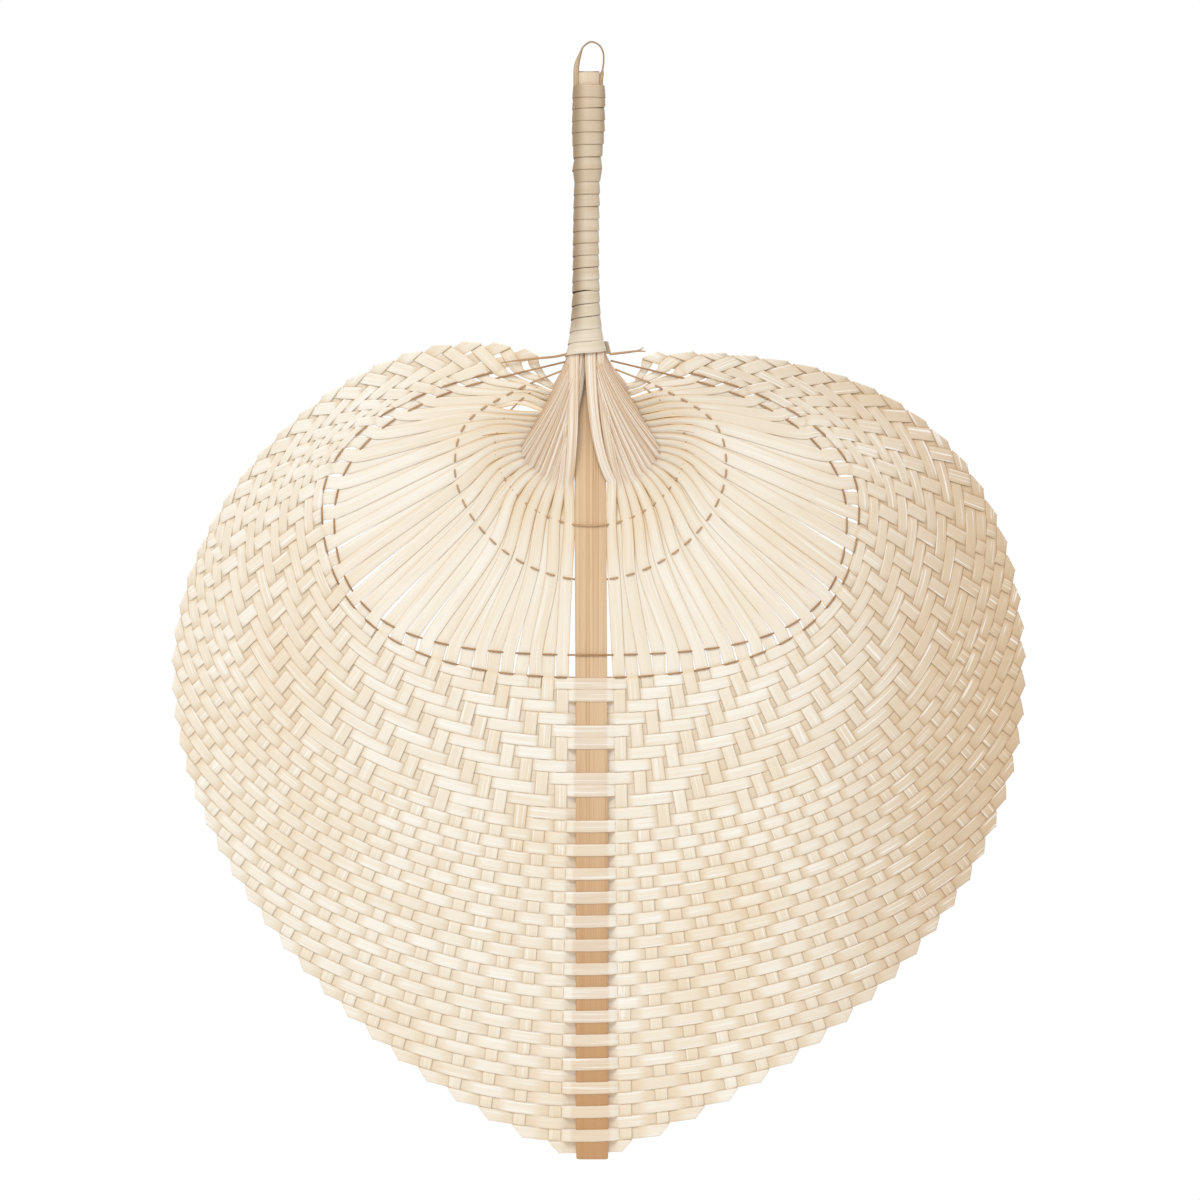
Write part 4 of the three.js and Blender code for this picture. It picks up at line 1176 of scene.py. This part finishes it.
def strip_finish():
    """A ground by the layers, from alone to thick, which is painted shade for the light that doesn't come
    through, then coats, some of them painted shade and painted highlights. A coat's share is a product of
    soft steps in the values on the mesh, in noise, or in the place in metres from the loop."""
    finish = Finish("shaved_bamboo")
    grain, place = finish.grain(), finish.place()
    aside, height = finish.part(place, 0), finish.part(place, 2)
    tone, layers, crown = (finish.node("ShaderNodeAttribute", {"attribute_name": name}, output=2)
                           for name in ("tone", "layers", "crown"))
    fibres = finish.noise(grain, (45, 16, 1), 3.0, 0.6)
    streaks = finish.noise(grain, (26, 6, 1), 2.0, 0.5)
    mottle = finish.noise(grain, (18, 1.3, 1), 2.0, 0.5).ramp(0.32, 0.68)
    pleat_shading = finish.noise(grain, (8, 10, 1), 1.0, 0.5)
    zones = finish.noise(place, (15, 15, 15), 2.0, 0.5)
    to_edge = finish.to_edge(grain)
    edge = to_edge.ramp(0.82, 1.0)
    stacked = (layers - 1).ramp(0.0, 1.0)
    # Painted shade in the dips where a strip dives under another, stronger towards the right; crowns stay
    # pale.
    sunk = (1 - crown) * (0.52 + 0.24 * aside.ramp(-0.06, 0.08))
    shoulder = height.ramp(-0.142, -0.118) * aside.ramp(0.012, 0.05)
    bell = stacked * height.ramp(-0.2, -0.18)
    reach = finish.node("ShaderNodeVectorMath", {"operation": "DISTANCE"},
                        {0: place, 1: THROAT_CENTRE}, output=1)
    gathered = reach.ramp(0.052, 0.03) * (1 - stacked)
    # Ground colours are painted shade for light through the strips: paler alone, darker and yellower doubled
    # or thick.
    alone = finish.colour_mix(mottle, rgb(252, 247, 236), rgb(246, 238, 220))
    doubled = finish.colour_mix(mottle, rgb(249, 243, 230), rgb(243, 232, 213))
    thick = finish.colour_mix(mottle, rgb(236, 220, 199), rgb(227, 206, 180))
    colour = finish.layered(
        finish.colour_mix(stacked, finish.colour_mix(layers, alone, doubled), thick),
        (sunk, (232, 211, 180)),
        # The tone: each strip's own, with painted shade where it is steep, deeper round the throat.
        (tone.ramp(0.2, 1.0) * 0.46, (233, 209, 173)),
        (zones.ramp(0.46, 0.68) * 0.34, (234, 209, 172)),
        # Painted shade: the blade darkens towards its right side, as one turned from the light; darker still
        # at the right shoulder.
        (aside.ramp(0.05, 0.155) * 0.9, (209, 181, 146)),
        (shoulder * 0.4, (206, 176, 138)),
        (fibres.ramp(0.52, 0.74) * 0.36, (226, 204, 171)),
        (bell * 0.35, (240, 225, 208)),
        # Painted shade lines and painted highlights draw fine pleat lines on the bell.
        (pleat_shading.ramp(0.5, 0.56) * bell * 0.5, (206, 164, 118)),
        (pleat_shading.ramp(0.46, 0.4) * bell * 0.6, (246, 236, 221)),
        # Painted highlights: near-white streaks along the crowns stand in for the satin sheen.
        (streaks.ramp(0.56, 0.68) * crown * 0.7, (254, 252, 247)),
        # Painted light: round the throat the edges glow golden, as light through overlapping strips;
        # elsewhere the brown is the cut edges' own.
        (to_edge.ramp(0.3, 1.0) * gathered * 0.4, (228, 186, 118)),
        (edge * (0.26 + 0.34 * gathered), (216, 172, 112)),
        # Painted shade at the edges of the bell's splints, where they overlap.
        (edge * bell * 0.5, (190, 140, 88)),
    )
    finish.set(Base_Color=colour, Roughness=0.48 - 0.12 * crown + 0.2 * fibres, Specular_IOR_Level=0.45,
               Normal=finish.bump(fibres * 0.5 + streaks * 0.5, 0.00015, 0.6))
    return finish.material


def dress(pieces, material):
    for piece in pieces:
        piece.data.materials.append(material)


dress(STRIPS, strip_finish())
print("strips dressed:", len(STRIPS))

# %% [markdown]
# The spine shows the inside of the bamboo: tan wood with straight, close lines along it, darker at the
# tip, and darkest with painted shade where the binding covers it. The sawn end in the loop is grey-brown.
# The pattern is read from the object's own place, drawn out along Z.

# %% Finish of the spine
def spine_finish():
    finish = Finish("split_bamboo")
    place = finish.place()
    height = finish.part(place, 2)
    lines = finish.noise(place, (2400, 900, 5), 3.0, 0.6)
    bands = finish.noise(place, (700, 300, 3), 2.0, 0.5)
    pores = finish.noise(place, (2600, 2600, 60), 2.0, 0.6)
    # Painted shade on the core where the binding covers it, seen through the gaps between turns.
    bound = height.ramp(-0.1, -0.096) * height.ramp(-0.02, -0.024)
    colour = finish.layered(
        finish.colour_mix(bands.ramp(0.35, 0.65), rgb(226, 196, 158), rgb(214, 177, 137)),
        (lines.ramp(0.5, 0.68) * 0.7, (188, 143, 99)),
        (lines.ramp(0.48, 0.34) * 0.5, (233, 208, 173)),
        (pores.ramp(0.62, 0.75) * 0.4, (158, 112, 72)),
        (height.ramp(-0.2, -0.38) * 0.85, (196, 147, 98)),
        (height.ramp(-0.09, -0.03) * 0.7, (226, 211, 187)),
        (height.ramp(-0.0106, -0.0101), (126, 104, 78)),
        (bound * 0.85, (92, 68, 46)),
    )
    finish.set(Base_Color=colour, Roughness=0.5 + 0.2 * lines, Specular_IOR_Level=0.35,
               Normal=finish.bump(lines * 0.7 + pores * 0.3, 0.0002, 0.7))
    return finish.material


dress([SPINE], spine_finish())
print("spine dressed")

# %% [markdown]
# The binding is the skin of the bamboo: smoother and glossier than the strips, beige with fine lengthwise
# streaks, with painted shade on both sides of the round grip, and with a thin brown line where one turn
# meets the next. The strands are brown and show their lay, a sine of the way along and around. The inner
# two are worn pale, and the loose ends nearly so. The loop is a darker bamboo.

# %% Finishes of the binding, the strands and the loop
STRAND_LAY = 450


def binding_finish():
    finish = Finish("bamboo_skin")
    grain, place = finish.grain(), finish.place()
    aside, height = finish.part(place, 0), finish.part(place, 2)
    streaks = finish.noise(grain, (45, 19, 1), 3.0, 0.6)
    patches = finish.noise(grain, (32, 1.2, 1), 2.0, 0.5)
    edge = finish.to_edge(grain).ramp(0.88, 1.0)
    above = height.ramp(-0.107, -0.092)
    colour = finish.layered(
        finish.colour_mix(patches.ramp(0.3, 0.7), rgb(226, 212, 190), rgb(211, 193, 165)),
        (height.ramp(-0.1, -0.02) * 0.6, (203, 180, 148)),
        (height.ramp(-0.085, -0.107) * 0.3, (236, 224, 206)),
        (streaks.ramp(0.5, 0.7) * 0.45, (194, 169, 134)),
        # Painted shade on the left and right flanks of the round grip, above the collar.
        (aside.ramp(-0.0012, -0.0056) * above * 0.88, (152, 128, 96)),
        (aside.ramp(0.002, 0.0052) * above * 0.85, (166, 144, 112)),
        (edge * (0.12 + 0.6 * patches.ramp(0.4, 0.62)), (158, 124, 86)),
    )
    finish.set(Base_Color=colour, Roughness=0.34 + 0.22 * streaks, Specular_IOR_Level=0.45,
               Normal=finish.bump(streaks, 0.00012, 0.5))
    return finish.material


def strand_finish(name, paler):
    finish = Finish(name)
    grain = finish.grain()
    along, around = (finish.part(grain, axis) for axis in (0, 1))
    turns = (along * STRAND_LAY + around) * (4 * np.pi)
    lay = turns.math("SINE", turns)
    worn = finish.noise(grain, (160, 2, 1), 3.0, 0.6)
    colour = finish.layered(
        finish.colour_mix(worn.ramp(0.3, 0.7), rgb(168, 124, 84), rgb(198, 158, 116)),
        (lay.ramp(0.0, -1.0) * 0.55, (130, 92, 60)),
        (paler, (216, 182, 142)),
    )
    finish.set(Base_Color=colour, Roughness=0.6 + 0.2 * worn, Specular_IOR_Level=0.3,
               Normal=finish.bump(lay, 0.00008, 0.6))
    return finish.material


def loop_finish():
    finish = Finish("dark_bamboo")
    grain = finish.grain()
    streaks = finish.noise(grain, (70, 12, 1), 3.0, 0.55)
    edge = finish.to_edge(grain).ramp(0.75, 1.0)
    colour = finish.layered(
        finish.colour_mix(streaks.ramp(0.35, 0.65), rgb(208, 183, 150), rgb(182, 153, 118)),
        (edge * 0.6, (132, 102, 72)),
    )
    finish.set(Base_Color=colour, Roughness=0.4 + 0.2 * streaks, Specular_IOR_Level=0.4,
               Normal=finish.bump(streaks, 0.00012, 0.5))
    return finish.material


dress([BINDING], binding_finish())
dress(LACES[:2], strand_finish("pale_strand", 0.5))
dress(LACES[2:4], strand_finish("brown_strand", 0.1))
dress(LACES[4:], strand_finish("loose_strand", 0.45))
dress([LOOP], loop_finish())
print("finishes:", [m.name for m in bpy.data.materials if m.users])

# %% [markdown]
# The fan hangs in front of white. The world lights it evenly and is plain white to the camera. A large
# lamp from the upper left gives the weave its small shadows, and a weaker one lights the back. The floor
# lies well below the tip. It is pale, and fades to the same white at its edge.

# %% Light, floor and background
FLOOR_DROP = 0.475
FLOOR_RADIUS = 0.62
FLOOR_RINGS = 24
FLOOR_CORNERS = 96
SKY_STRENGTH = 0.62
LAMP_SIZE = 0.9
LAMPS = {"upper_left": ((-0.33, -1.2, 0.95), 13.8), "behind": ((0.3, 1.2, 0.5), 6.0)}


def light_paths(finish):
    """1 for rays from the camera, or that a surface mirrors or lets through on their way from it."""
    kinds = [finish.node("ShaderNodeLightPath", output=name)
             for name in ("Is Camera Ray", "Is Glossy Ray", "Is Transmission Ray")]
    return kinds[0].math("MINIMUM", kinds[0] + kinds[1] + kinds[2], 1.0)


class Sky(Finish):
    """The world's node tree, filled by the same methods as a material's."""

    def __init__(self, name):
        self.world = bpy.data.worlds.new(name)
        self.world.use_nodes = True
        self.tree = self.world.node_tree
        self.shader = self.tree.nodes["Background"]


sky = Sky("plain_light")
sky.set(Color=(1.0, 1.0, 1.0, 1.0), Strength=SKY_STRENGTH + (1 - SKY_STRENGTH) * light_paths(sky))
bpy.context.scene.world = sky.world

for name, (location, power) in LAMPS.items():
    lamp_data = bpy.data.lights.new(name, "AREA")
    lamp_data.energy = power
    lamp_data.size = LAMP_SIZE
    lamp = bpy.data.objects.new(name, lamp_data)
    lamp.location = location
    lamp.rotation_euler = (view_middle - lamp.location).to_track_quat("-Z", "Y").to_euler()
    bpy.context.collection.objects.link(lamp)


def floor_disc():
    """A disc as a grid of circles: radius along one parameter, angle along the other."""
    radius = np.linspace(0.01, FLOOR_RADIUS, FLOOR_RINGS)[:, None]
    turn = np.arange(FLOOR_CORNERS) / FLOOR_CORNERS * 2 * np.pi
    level = np.full((FLOOR_RINGS, FLOOR_CORNERS), -FLOOR_DROP)
    points = np.stack([radius * np.cos(turn), radius * np.sin(turn), level], -1)
    index, quads = ring_quads(FLOOR_RINGS, FLOOR_CORNERS)
    mesh = bpy.data.meshes.new("floor")
    mesh.from_pydata(points.reshape(-1, 3).tolist(), [], quads[:, ::-1].tolist() + [index[0].tolist()])
    floor = bpy.data.objects.new("floor", mesh)
    bpy.context.collection.objects.link(floor)
    return floor


def floor_finish():
    """A pale matt shader that fades with the distance from the middle to plain white light."""
    finish = Finish("pale_floor")
    level = finish.stretched(finish.place(), (1, 1, 0))
    radius = finish.node("ShaderNodeVectorMath", {"operation": "LENGTH"}, {0: level}, output=1)
    white = finish.node("ShaderNodeEmission", None, {"Strength": 1.0})
    fade = radius.ramp(0.2, 0.6) * light_paths(finish)
    finish.set(Base_Color=(0.93, 0.93, 0.92, 1.0), Roughness=0.8)
    pale = Value(finish, finish.shader.outputs[0])
    mixed = finish.node("ShaderNodeMixShader", None, {0: fade, 1: pale, 2: white})
    finish.fill(finish.tree.nodes["Material Output"].inputs["Surface"], mixed)
    return finish.material


floor = floor_disc()
dress([floor], floor_finish())
floor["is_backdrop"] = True
bpy.context.scene.view_settings.view_transform = "Standard"
print("floor", FLOOR_DROP, "m below the loop")

# %% Sizes and finish
shown_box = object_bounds()
sizes = {"cad": [list(corner) for corner in cad_box], "visual": [list(corner) for corner in shown_box]}
print("sizes in mm:", [[round(1000 * (b - a), 1) for a, b in zip(*box)] for box in sizes.values()])
